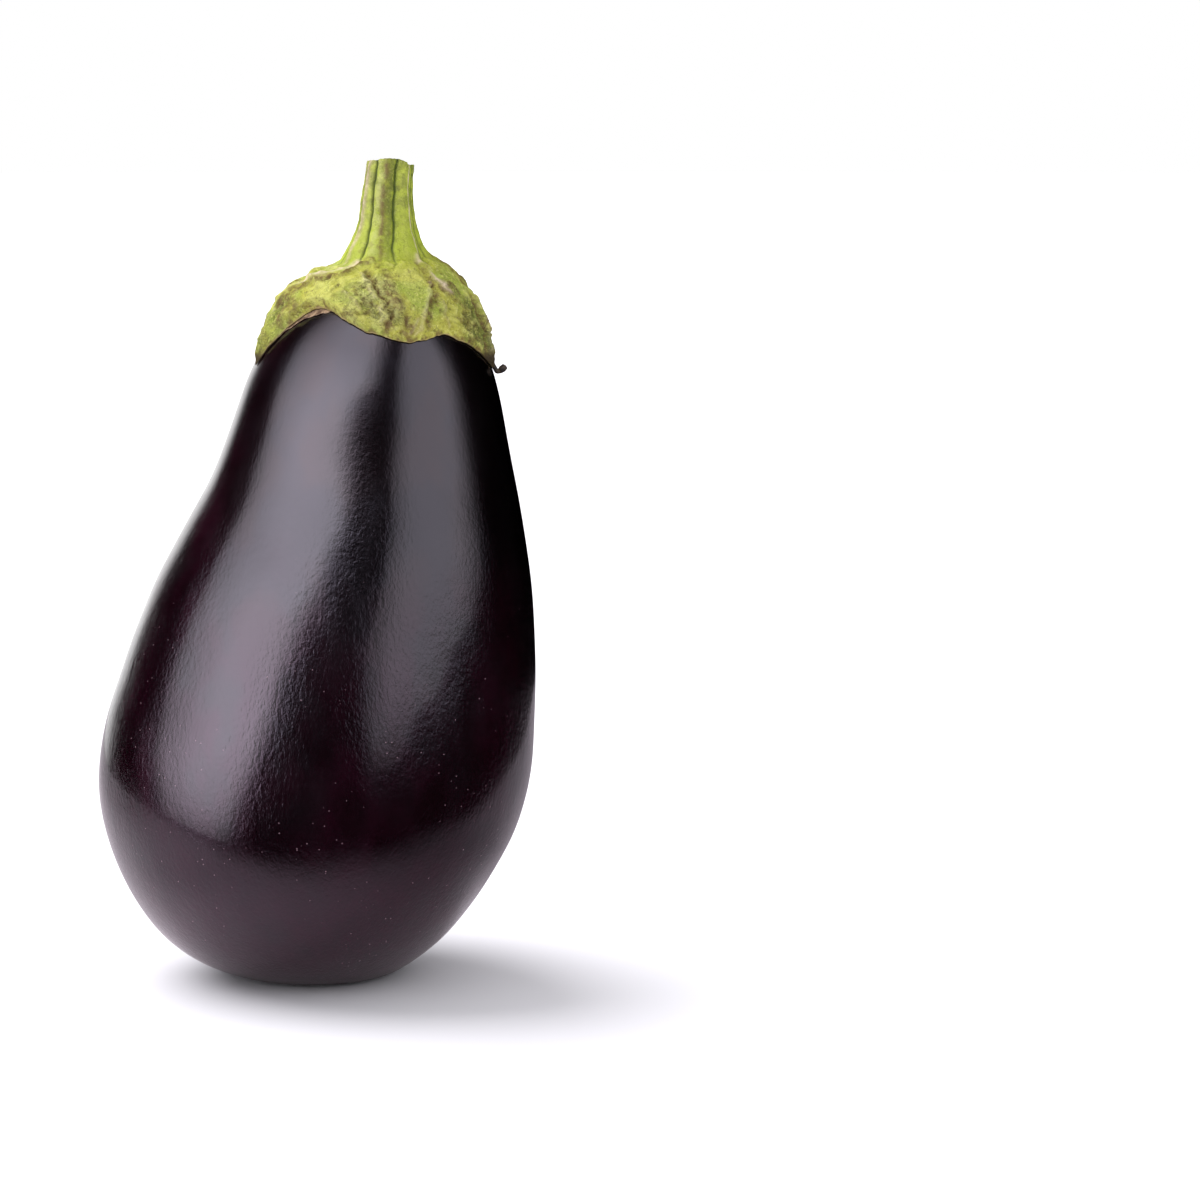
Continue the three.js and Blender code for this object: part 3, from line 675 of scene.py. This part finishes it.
def calyx_rings():
    angle, edge = cap_columns()
    columns = len(angle)

    def skirt(reach):
        """Share of the way down to the edge, and heights over the fruit of both faces."""
        share = np.maximum(0, (reach - CAP_REACH) / (edge - CAP_REACH))
        below = GAP + (EDGE_GAP - GAP) * smooth(0.3, 1, share)
        outer = GAP + plain_thickness(reach)
        outer = outer + (EDGE_HEIGHT - outer) * smooth(RIM_STARTS, 1.03, share)
        return share, below, outer

    cut_height, _, cut_middle = STEM_STATIONS[0]
    stations = []
    for i, (z, r, x) in enumerate(STEM_STATIONS):
        cut = 0 * angle
        if i == 0:
            cut = np.interp(np.degrees(angle), *np.array(CUT_TOPS).T, period=360)
            cut = cut - CUT_SLANT * np.cos(angle)
            cut = cut - CUT_BACKWARD * (1 + np.sin(angle)) + CUT_UNEVEN * np.sin(angle * 31)
        y = r * np.sin(angle) + STEM_BACKWARD * smooth(STEM_FOOT, cut_height, z)
        stations.append(np.stack([x + r * np.cos(angle), y, z + cut], -1))
    for reach in (CAP_REACH, CAP_REACH + 4):
        stations.append(over_fruit(angle, reach, skirt(reach)[2]))
    places = np.linspace(0, len(STEM_STATIONS), STEM_ROWS + 1)
    outside = through_stations(np.stack(stations), places)
    middles = np.stack([station.mean(0, keepdims=True) for station in stations])
    spoke = outside - through_stations(middles, places)
    spoke[..., 2] = 0
    radius = np.linalg.norm(spoke, axis=-1)
    ribbed = smooth(STEM_FOOT - RIBS_UP, STEM_FOOT + RIBS_UP, outside[..., 2])
    down = np.clip((cut_height - outside[..., 2]) / (cut_height - STEM_FOOT), 0, 1)
    push, lines = stem_lines(angle, down, radius)
    push = (push + 0.1 * swell(outside, 2.6)) * ribbed
    outside = outside + spoke / radius[..., None] * push[..., None]
    outside, upper = grown(outside, 0, CAP_THICKNESS)

    reach = CAP_REACH + (edge - CAP_REACH) * np.arange(1, SKIRT_ROWS + 1)[:, None] / SKIRT_ROWS
    share, below, outer = skirt(reach)
    cap, lower = grown(over_fruit(angle, reach, outer), share, outer - below)
    lining = over_fruit(angle, reach, below)[::-LINING_EVERY]
    lip = over_fruit(angle, edge + 0.1, (below[-1] + EDGE_HEIGHT) / 2)[None]
    inward = np.linspace(CAP_REACH, 0, UNDERSIDE_ROWS, endpoint=False)[:, None]
    under = over_fruit(angle, inward, GAP)

    middle = np.array([cut_middle, STEM_BACKWARD, cut_height - CUT_BACKWARD])
    face = np.stack([middle + (outside[0] - middle) * out + [0, 0, rise] for out, rise in CUT_FACE])
    face[..., 2] += 0.06 * swell(face, 1.1)
    rings = np.concatenate([face, outside, cap, lip, lining, under])

    counts = [len(CUT_FACE), STEM_ROWS + 1, SKIRT_ROWS, 1 + len(lining) + len(under)]

    def mark(*values):
        """One mark for all rings: a value each for the cut, the stem, the cap and the lining."""
        pairs = zip(values, counts)
        return np.concatenate([np.broadcast_to(value, (count, columns)) for value, count in pairs])

    marks = {
        "cut_share": mark(np.array(CUT_FACE)[:, :1], 1.0, 1.0, 1.0),
        "cut": mark(1.0, 0.0, 0.0, 0.0),
        "stem": mark(1.0, ribbed, 0.0, 0.0),
        "down": mark(0.0, down, 1.0, 1.0),
        "from_edge": mark(9.0, 9.0, edge - reach, 0.0),
        "reach": mark(0.0, 0.0, reach, 40.0),
        "groove": mark(0.0, lines["groove"] * ribbed, 0.0, 0.0),
    }
    for name in ("brown", "pale", "grey", "dark", "light"):
        marks[name] = mark(0.0, np.maximum(upper[name], lines[name] * ribbed), lower[name], 0.0)
    for name in ("vein", "crest"):
        marks[name] = mark(0.0, upper[name], lower[name], 0.0)
    strips = np.concatenate([np.linspace(0.01, 0.08, counts[0]), np.linspace(0.085, 0.4, counts[1]),
                             np.linspace(0.404, 0.86, counts[2]), np.linspace(0.865, 0.99, counts[3])])
    return middle + [0, 0, CUT_FACE[0][1]], rings, over_fruit(0.0, 0.0, GAP), strips, marks


def leaf_material():
    leaf, shader = start_material("calyx_and_stem")
    place = add_node(leaf, "ShaderNodeTexCoord").outputs["Object"]

    def mark(name):
        return attribute(leaf, name)

    def ramp(*value_and_ends):
        return between(leaf, *value_and_ends)

    def cloudy(*size_and_kind):
        return noise(leaf, place, *size_and_kind)

    def over(colour, share, strength, laid_on):
        return blend_colours(leaf, times(leaf, share, strength), colour, laid_on)

    def mottled(size_mm, low, high, detail=3, roughness=0.6, distortion=0.0):
        return ramp(cloudy(size_mm, detail, roughness, distortion), low, high)

    stem, crest, from_edge = mark("stem"), mark("crest"), mark("from_edge")
    leafy = calculate(leaf, "SUBTRACT", 1.0, stem)
    broken = cloudy(1.3, 3, 0.65)
    fainter = ramp(leafy, 0.0, 1.0, 0.3, 0.5)
    much_fainter = ramp(leafy, 0.0, 1.0, 0.25, 0.7)

    # Fine veins, broken up and plainest on the grey and dark places.
    grey_and_dark_places = calculate(leaf, "MAXIMUM", mark("grey"), mark("dark"))
    drawn = times(leaf, ramp(grey_and_dark_places, 0.0, 0.8, 0.4, 1.0), leafy)
    from_vein = calculate(leaf, "SUBTRACT", cloudy(2.3, 3, 0.6, 0.8), 0.5)
    creased = calculate(leaf, "ABSOLUTE", from_vein)
    interrupted = ramp(broken, 0.44, 0.54, 0.0, 0.55)
    fine_vein = times(leaf, ramp(creased, 0.045, 0.012), interrupted)

    # Brown along the edge, and dried ends on the longer sepals.
    dried = times(leaf, ramp(mark("reach"), 33, 37), ramp(from_edge, 1.5, 3.5, 0.8, 0.0))
    patchy = ramp(from_edge, 0.3, 1.2, mottled(2.6, 0.42, 0.62), 0.0)

    colour = blend_colours(leaf, mottled(10, 0.42, 0.58, 3, 0.55, 0.4), LEAF_YELLOW, LEAF_GREEN)
    stalk = blend_colours(leaf, mottled(3.2, 0.36, 0.66, 4, 0.6, 0.6), STEM_GREEN, STEM_LIGHT)
    stalk = over(stalk, ramp(mark("down"), 0.35, 0.95), 0.85, STEM_LIGHT)
    colour = blend_colours(leaf, stem, colour, stalk)
    # Laid over it one after another: where, how strongly and in what colour.
    layers = [
        (mark("grey"), mottled(2.5, 0.3, 0.55), LEAF_GREY),
        # Painted light on the light places, and painted shade, in part, on the dark ones.
        (mark("light"), 0.5, LEAF_LIGHT),
        (mark("dark"), 0.6, LEAF_DARK_AND_SHADE),
        (mottled(2.4, 0.52, 0.7, 4), times(leaf, leafy, 0.5), LEAF_LIGHT),
        (mottled(1.2, 0.56, 0.61, 4, 0.65, 1.4), fainter, VEIN_DARK),
        (mottled(0.8, 0.56, 0.61, 4, 0.65, 1.2), much_fainter, LEAF_LIGHT),
        # Painted shade in the hollows of the crumples and painted highlight on their crests.
        (ramp(crest, 0.42, 0.05), times(leaf, leafy, 0.4), VEIN_DARK),
        (ramp(crest, 0.58, 0.9), 0.65, LEAF_LIGHT),
        (fine_vein, drawn, VEIN_DARK),
        (mark("vein"), ramp(broken, 0.35, 0.6, 0.1, 0.65), VEIN_DARK),
        # Painted shade in the stem's grooves.
        (mark("groove"), 0.9, GROOVE_SHADE),
        (mottled(3, 0.59, 0.66, 5, 0.68), fainter, LEAF_BROWN),
        # Brown along the creases, stem ribs and scorched patches: in the fold shadows and valleys it is
        # painted shadow, on the dark rims partly painted shade.
        (mark("brown"), ramp(broken, 0.34, 0.58, 0.3, 1.0), LEAF_BROWN),
        # Pale lines: on the fold crests and ridges painted highlight, along the midrib and the papery band
        # partly painted highlight and sheen.
        (mark("pale"), ramp(broken, 0.3, 0.65, 1.0, 0.45), LEAF_PALE),
        (calculate(leaf, "MAXIMUM", dried, patchy), 0.8, LEAF_BROWN),
        (ramp(from_edge, 0.02, 0.16, 0.7, 0.0), mottled(2, 0.3, 0.6), EDGE_TAN),
        (ramp(mark("reach"), 34, 36.8), ramp(from_edge, 1.6, 3.2, 0.92, 0.0), DRIED_DARK),
    ]
    for layer in layers:
        colour = over(colour, *layer)

    # The cut: tan pith, a dark woody ring round it and a pale rim.
    share = mark("cut_share")
    pith = blend_colours(leaf, mottled(0.9, 0.3, 0.7, 4), *PITH)
    from_ring = calculate(leaf, "ABSOLUTE", calculate(leaf, "SUBTRACT", share, 0.7))
    pith = blend_colours(leaf, ramp(from_ring, 0.04, 0.12, 1.0, 0.0), pith, PITH_RING)
    pith = blend_colours(leaf, ramp(share, 0.8, 0.86), pith, PITH_RIM)
    inside = times(leaf, mark("cut"), ramp(share, 0.9, 0.95, 1.0, 0.0))
    colour = blend_colours(leaf, inside, colour, pith)

    rough = ramp(cloudy(2, 3), 0.3, 0.7, *LEAF_ROUGHNESS)
    furrow = times(leaf, ramp(creased, 0.0, 0.1, 0.0, 1.1), drawn)
    height = calculate(leaf, "ADD", furrow, cloudy(0.6, 3, 0.6))
    bump = add_node(leaf, "ShaderNodeBump", {
        "Height": height, "Strength": 1.0, "Distance": LEAF_GRAIN_MM * MM})
    fill(shader, {"Base Color": colour, "Roughness": rough, "Specular IOR Level": LEAF_MIRRORING,
                  "Normal": bump.outputs["Normal"]})
    return leaf


calyx = body_of_rings("eggplant_calyx_and_stem", *calyx_rings())
leaf = leaf_material()
calyx.data.materials.append(leaf)
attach(calyx, "root")
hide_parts("calyx_stem")

# ------------------------------------------------------------
# Dry scrap: a crescent of papery brown tissue left on the skin under the front left notch of
# the calyx. It is the torn edge of a young sepal that stuck to the skin as the fruit grew.

SCRAP_FROM, SCRAP_TO = -150, -118
SCRAP_WIDTH = 2.3
SCRAP_TUCKED_IN = 1.5
SCRAP_THICKNESS = 0.08
SCRAP_OVER_SKIN = 0.1
SCRAP_CURL = 0.22
SCRAP_CRINKLE = 0.07
SCRAP_COLUMNS = 90
SCRAP_ROWS = 16


def grid_quads(rows, columns):
    """The points of an open grid by number, and the quads between them."""
    here = np.arange(rows * columns).reshape(rows, columns)
    return here, np.stack([here[:-1, :-1], here[1:, :-1], here[1:, 1:], here[:-1, 1:]], -1).reshape(-1, 4)


def dry_scrap():
    turn = np.radians(np.linspace(SCRAP_FROM, SCRAP_TO, SCRAP_COLUMNS))
    share = np.linspace(0, 1, SCRAP_COLUMNS)
    cap_angle, cap_edge = cap_columns()
    edge = np.interp(turn, cap_angle, cap_edge)
    width = np.sin(share * math.pi) ** 0.8 * (0.75 + 0.25 * np.sin(share * 5 - 2))
    width = width + 0.05 * np.sin(share * 37)
    rows = np.linspace(0, 1, SCRAP_ROWS)[:, None]
    reach = edge - SCRAP_TUCKED_IN + (SCRAP_TUCKED_IN + SCRAP_WIDTH * width) * rows
    lift = SCRAP_OVER_SKIN + SCRAP_CURL * rows ** 3 * (0.6 + np.sin(share * 19) * 0.4)
    outer = over_fruit(turn, reach, lift)
    outer = outer + SCRAP_CRINKLE * swell(outer, 1.7)[..., None] * rows[..., None]
    inner = over_fruit(turn, reach, lift - SCRAP_THICKNESS)
    points = np.concatenate([outer.reshape(-1, 3), inner.reshape(-1, 3)]) * MM
    here, quads = grid_quads(SCRAP_ROWS, SCRAP_COLUMNS)
    around = np.concatenate([here[0, :-1], here[:-1, -1], here[-1, :0:-1], here[:0:-1, 0]])
    ahead = np.roll(around, -1)
    rim = np.stack([around, ahead, here.size + ahead, here.size + around], -1)
    faces = np.concatenate([quads, here.size + quads[:, ::-1], rim])
    piece, mesh = new_piece("dry_scrap", points.tolist(), faces.tolist())
    mesh.shade_smooth()
    return piece


DRIED_ROUGHNESS = 0.62
DRIED_CRINKLE_MM = 0.2
DRIED_CRINKLE_STRENGTH = 0.55


def dried_tissue():
    """Brown papery tissue: how it is mottled, and how it crinkles."""
    group = bpy.data.node_groups.new("dried_tissue", "ShaderNodeTree")
    for in_out, name, kind in (("INPUT", "Place", "Vector"), ("INPUT", "Dark", "Color"),
                               ("INPUT", "Light", "Color"), ("OUTPUT", "Colour", "Color"),
                               ("OUTPUT", "Normal", "Vector")):
        group.interface.new_socket(name, in_out=in_out, socket_type="NodeSocket" + kind)
    given = add_node(group, "NodeGroupInput").outputs
    mottles = between(group, noise(group, given["Place"], 1.4, 4, 0.6), 0.36, 0.62)
    colour = blend_colours(group, mottles, given["Dark"], given["Light"])
    crinkles = add_node(group, "ShaderNodeBump", {
        "Height": noise(group, given["Place"], 0.6, 3), "Strength": DRIED_CRINKLE_STRENGTH,
        "Distance": DRIED_CRINKLE_MM * MM})
    add_node(group, "NodeGroupOutput", {"Colour": colour, "Normal": crinkles.outputs["Normal"]})
    return group


DRIED_TISSUE = dried_tissue()


def dried_material(name, dark, light):
    dry, shader = start_material(name)
    place = add_node(dry, "ShaderNodeTexCoord").outputs["Object"]
    tissue = add_node(dry, "ShaderNodeGroup", node_tree=DRIED_TISSUE)
    fill(tissue, {"Place": place, "Dark": dark, "Light": light})
    fill(shader, {"Base Color": tissue.outputs["Colour"], "Roughness": DRIED_ROUGHNESS,
                  "Normal": tissue.outputs["Normal"]})
    return dry


SCRAP_BROWN = (0.13, 0.065, 0.035, 1)
SCRAP_TAN = (0.50, 0.33, 0.20, 1)

scrap = dry_scrap()
scrap.data.materials.append(dried_material("dry_scrap", SCRAP_BROWN, SCRAP_TAN))
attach(scrap, "root")

# ------------------------------------------------------------
# Withered tips: the dried brown ends of two sepals, thin threads that curl away from the
# skin. They grew on with the sepals and are dry and dark.

# Sepal number, path as reach, height over the fruit and degrees from the tip, then radii.
WITHERED_TIPS = [
    (2, [(36.8, 0.45, 0), (39.2, 0.6, 0), (40.5, 0.9, 0), (40.7, 1.5, 1), (40.5, 2.2, 1), (40.2, 2.9, 2)],
     [0.45, 0.55, 0.6, 0.65, 0.85, 0.8]),
    (3, [(36.5, 1.4, 0), (41, 1.8, 0), (45, 4, 2), (47.5, 7.5, 4), (46.5, 10.5, 6)],
     [0.65, 0.7, 0.55, 0.5, 0.4]),
]
TIP_SIDES = 20
TIP_ROWS = 60
TIP_WRINKLES = 0.12
TIP_END = 0.6  # how far each end bulges, as a share of its radius


def withered_tip(number, sepal, path, radii):
    reach, height, degrees = np.array(path, float).T
    stations = over_fruit(np.radians(SEPALS[sepal][0] + degrees), reach, height)[:, None]
    places = np.linspace(0, len(path) - 1, TIP_ROWS)
    line = through_stations(stations, places)[:, 0]
    ahead = np.gradient(line, axis=0)
    ahead /= np.linalg.norm(ahead, axis=1, keepdims=True)
    side = np.cross(ahead, [0.3, 0.2, 1.0])
    side /= np.linalg.norm(side, axis=1, keepdims=True)
    across = np.cross(ahead, side)
    turn = -np.arange(TIP_SIDES) / TIP_SIDES * TURN
    radius = np.interp(places, np.arange(len(radii)), radii)[:, None, None]
    spoke = side[:, None] * np.cos(turn)[:, None] + across[:, None] * np.sin(turn)[:, None]
    rings = line[:, None] + spoke * radius
    rings = rings + spoke * TIP_WRINKLES * swell(rings, 1.3)[..., None]
    first = line[0] - ahead[0] * radii[0] * TIP_END
    last = line[-1] + ahead[-1] * radii[-1] * TIP_END
    strips = np.linspace(0.02, 0.98, TIP_ROWS)
    return body_of_rings(f"withered_tip_{number}", first, rings, last, strips, {})


TIP_DARK = (0.018, 0.010, 0.005, 1)
TIP_BROWN = (0.065, 0.038, 0.015, 1)

dry = dried_material("withered_tip", TIP_DARK, TIP_BROWN)
for number, (sepal, path, radii) in enumerate(WITHERED_TIPS, 1):
    tip = withered_tip(number, sepal, path, radii)
    tip.data.materials.append(dry)
    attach(tip, "root")

# ------------------------------------------------------------
# The studio: a white table in an even white light, a large softbox to the left, a weaker one
# to the right and a white wall to the left behind. The panels are cloth over lamps, so they
# fade towards their edges, and the skin mirrors only the part of the table that is close,
# which shows it a painted reflection in place of its white.

TABLE_NEAR = 0.308
TABLE_FADE = 0.03
TABLE_NEAR_MIDDLE = (-0.058, 0.205)
TABLE_FAR = 8.0
TABLE_CORNERS = 128
TABLE_WHITE = (0.90, 0.885, 0.94, 1)
TABLE_ROUGHNESS = 0.9
# Painted reflection: what the skin mirrors of the near part in place of its white, in its
# middle, to the right, to the far left, close to the fruit, and past its fading edge. Darker to
# the right is painted shade, lighter close to the fruit is painted light over the fruit's shadow,
# and near black past the fading edge.
MIRRORED_MIDDLE = (0.52, 0.47, 0.52, 1)
MIRRORED_RIGHT = (0.26, 0.23, 0.26, 1)
MIRRORED_LEFT = (0.33, 0.30, 0.33, 1)
MIRRORED_CLOSE = (0.75, 0.68, 0.75, 1)
MIRRORED_EDGE = (0.02, 0.02, 0.02, 1)

white, shader = start_material("white_table")
place = add_node(white, "ShaderNodeTexCoord").outputs["Object"]
to_side = add_node(white, "ShaderNodeSeparateXYZ", {"Vector": place}).outputs["X"]
painted_reflection = blend_colours(white, between(white, to_side, -0.1, 0.08), MIRRORED_MIDDLE, MIRRORED_RIGHT)
painted_reflection = blend_colours(white, between(white, to_side, -0.1, -0.24), painted_reflection, MIRRORED_LEFT)
from_fruit = add_node(white, "ShaderNodeVectorMath", {0: place}, operation="LENGTH").outputs["Value"]
painted_reflection = blend_colours(white, between(white, from_fruit, 0.09, 0.03), painted_reflection, MIRRORED_CLOSE)
from_middle = add_node(white, "ShaderNodeVectorMath", {0: place, 1: (*TABLE_NEAR_MIDDLE, 0)},
                       operation="DISTANCE").outputs["Value"]
within = between(white, from_middle, TABLE_NEAR, TABLE_NEAR - TABLE_FADE)
painted_reflection = blend_colours(white, within, MIRRORED_EDGE, painted_reflection)
# Rays mirrored by the skin see the painted reflection instead of the white.
from_skin = add_node(white, "ShaderNodeLightPath").outputs["Is Glossy Ray"]
colour = blend_colours(white, from_skin, TABLE_WHITE, painted_reflection)
fill(shader, {"Base Color": colour, "Roughness": TABLE_ROUGHNESS, "Specular IOR Level": 0.0})


def table_part(name, radii, faces):
    """A flat part of the table from circles round the near middle."""
    turn = np.arange(TABLE_CORNERS) / TABLE_CORNERS * TURN
    x = TABLE_NEAR_MIDDLE[0] + np.outer(radii, np.cos(turn)).ravel()
    y = TABLE_NEAR_MIDDLE[1] + np.outer(radii, np.sin(turn)).ravel()
    part, mesh = new_piece(name, np.stack([x, y, 0 * x], -1).tolist(), faces)
    mesh.materials.append(white)
    return part


table_part("table_near", [TABLE_NEAR], [list(range(TABLE_CORNERS))])
around = [(i, (i + 1) % TABLE_CORNERS) for i in range(TABLE_CORNERS)]
table_far = table_part("table_far", [TABLE_NEAR, TABLE_FAR],
                       [(i, TABLE_CORNERS + i, TABLE_CORNERS + k, k) for i, k in around])
table_far.visible_glossy = False
table_far.visible_shadow = False

PANEL_DISTANCE = 0.8
PANEL_MIDDLE = 0.005
PANEL_COLUMNS = 16
LEFT_FADE_POWER = 0.6


def soft_panel(name, rows, fades, colour, strength):
    """A curved glowing panel that only the mirroring of the pieces shows.

    rows: height, turn of its left and right edge in degrees from the front, and share of its
    light. It fades out over these shares of its left and right side, on the left with a
    sharp start.
    """
    points, places = [], []
    for height, left, right, lit in rows:
        for j in range(PANEL_COLUMNS + 1):
            across = j / PANEL_COLUMNS
            turn = math.radians(left + (right - left) * across)
            x = PANEL_MIDDLE + PANEL_DISTANCE * math.sin(turn)
            points.append((x, -PANEL_DISTANCE * math.cos(turn), height))
            places.append((across, lit))
    quads = grid_quads(len(rows), PANEL_COLUMNS + 1)[1]
    panel, mesh = new_piece(name, points, quads[:, [0, 3, 2, 1]].tolist())
    uv = mesh.uv_layers.new(name="panel")
    for loop in mesh.loops:
        uv.data[loop.index].uv = places[loop.vertex_index]

    glow, shader = start_material(name)
    nodes = glow.node_tree.nodes
    nodes.remove(shader)
    on_panel = add_node(glow, "ShaderNodeUVMap").outputs["UV"]
    across, lit = add_node(glow, "ShaderNodeSeparateXYZ", {"Vector": on_panel}).outputs[:2]
    from_left = calculate(glow, "MINIMUM", calculate(glow, "DIVIDE", across, fades[0]), 1.0)
    from_left = calculate(glow, "POWER", from_left, LEFT_FADE_POWER)
    fade = times(glow, from_left, between(glow, across, 1.0, 1.0 - fades[1]))
    power = times(glow, times(glow, fade, lit), strength)
    light = add_node(glow, "ShaderNodeEmission", {"Color": colour, "Strength": power})
    fill(nodes["Material Output"], {"Surface": light.outputs[0]})
    mesh.materials.append(glow)
    panel.visible_camera = False
    panel.visible_diffuse = False
    panel.visible_shadow = False


CLOTH_WHITE = (0.95, 0.94, 1.0, 1)
WALL_WHITE = (1, 1, 1, 1)

soft_panel("softbox_left", [
    (-0.42, -76, -38, 0), (-0.05, -84, -27, 0.75), (0.13, -89, -20, 1), (0.27, -92, -17, 1),
    (0.44, -94, -10, 1), (0.56, -96, 1, 1), (0.66, -97, 19, 0.9), (1.0, -99, 26, 0.68),
    (2.6, -110, 50, 0.62),
], (0.47, 0.24), CLOTH_WHITE, 4.7)
soft_panel("softbox_right", [
    (-0.1, 28, 38, 0), (0.07, 25, 56, 0.6), (0.12, 22, 96, 0.85), (0.25, 20, 99, 1),
    (0.55, 24, 94, 1), (0.94, 37, 86, 0.9), (1.6, 50, 84, 0.8),
], (0.2, 0.35), CLOTH_WHITE, 1.9)
soft_panel("wall_left_behind", [
    (-0.4, -179, -124, 1), (0.0, -179, -128, 1), (0.15, -179, -135, 1), (0.7, -179, -140, 1),
], (0.1, 0.35), WALL_WHITE, 1.3)

# The light that falls: a wide soft lamp high up on the left and a little behind, and the
# white room all round.
LAMP_STRENGTH = 3.5
LAMP_SPREAD = math.radians(60)
LAMP_TURN = (math.radians(-20), math.radians(-35), 0)
ROOM_LIGHT = 0.85

sun = bpy.data.lights.new("high_light", "SUN")
sun.energy = LAMP_STRENGTH
sun.angle = LAMP_SPREAD
high_light = bpy.data.objects.new("high_light", sun)
high_light.rotation_euler = LAMP_TURN
high_light.visible_glossy = False
bpy.context.collection.objects.link(high_light)

world = bpy.data.worlds.new("white_room")
world.use_nodes = True
seen = add_node(world, "ShaderNodeLightPath").outputs["Is Camera Ray"]
strength = add_node(world, "ShaderNodeMix", {0: seen, 2: ROOM_LIGHT, 3: 1.0}).outputs[0]
fill(world.node_tree.nodes["Background"], {"Color": WALL_WHITE, "Strength": strength})
world.cycles_visibility.glossy = False
bpy.context.scene.world = world
bpy.context.scene.view_settings.view_transform = "Standard"

# ------------------------------------------------------------
# The camera: a long lens in front, a little higher than the cut of the stem and tilted down.

CAMERA_TARGET = Vector((0.06839, 0, 0.0914))
CAMERA_DISTANCE = 0.885
CAMERA_RISE = math.radians(8)
LENS_MM = 110

lens = bpy.data.cameras.new("camera")
lens.lens = LENS_MM
camera = bpy.data.objects.new("camera", lens)
away = Vector((0, -math.cos(CAMERA_RISE), math.sin(CAMERA_RISE)))
camera.location = CAMERA_TARGET + CAMERA_DISTANCE * away
camera.rotation_euler = (math.radians(90) - CAMERA_RISE, 0, 0)
bpy.context.collection.objects.link(camera)
bpy.context.scene.camera = camera
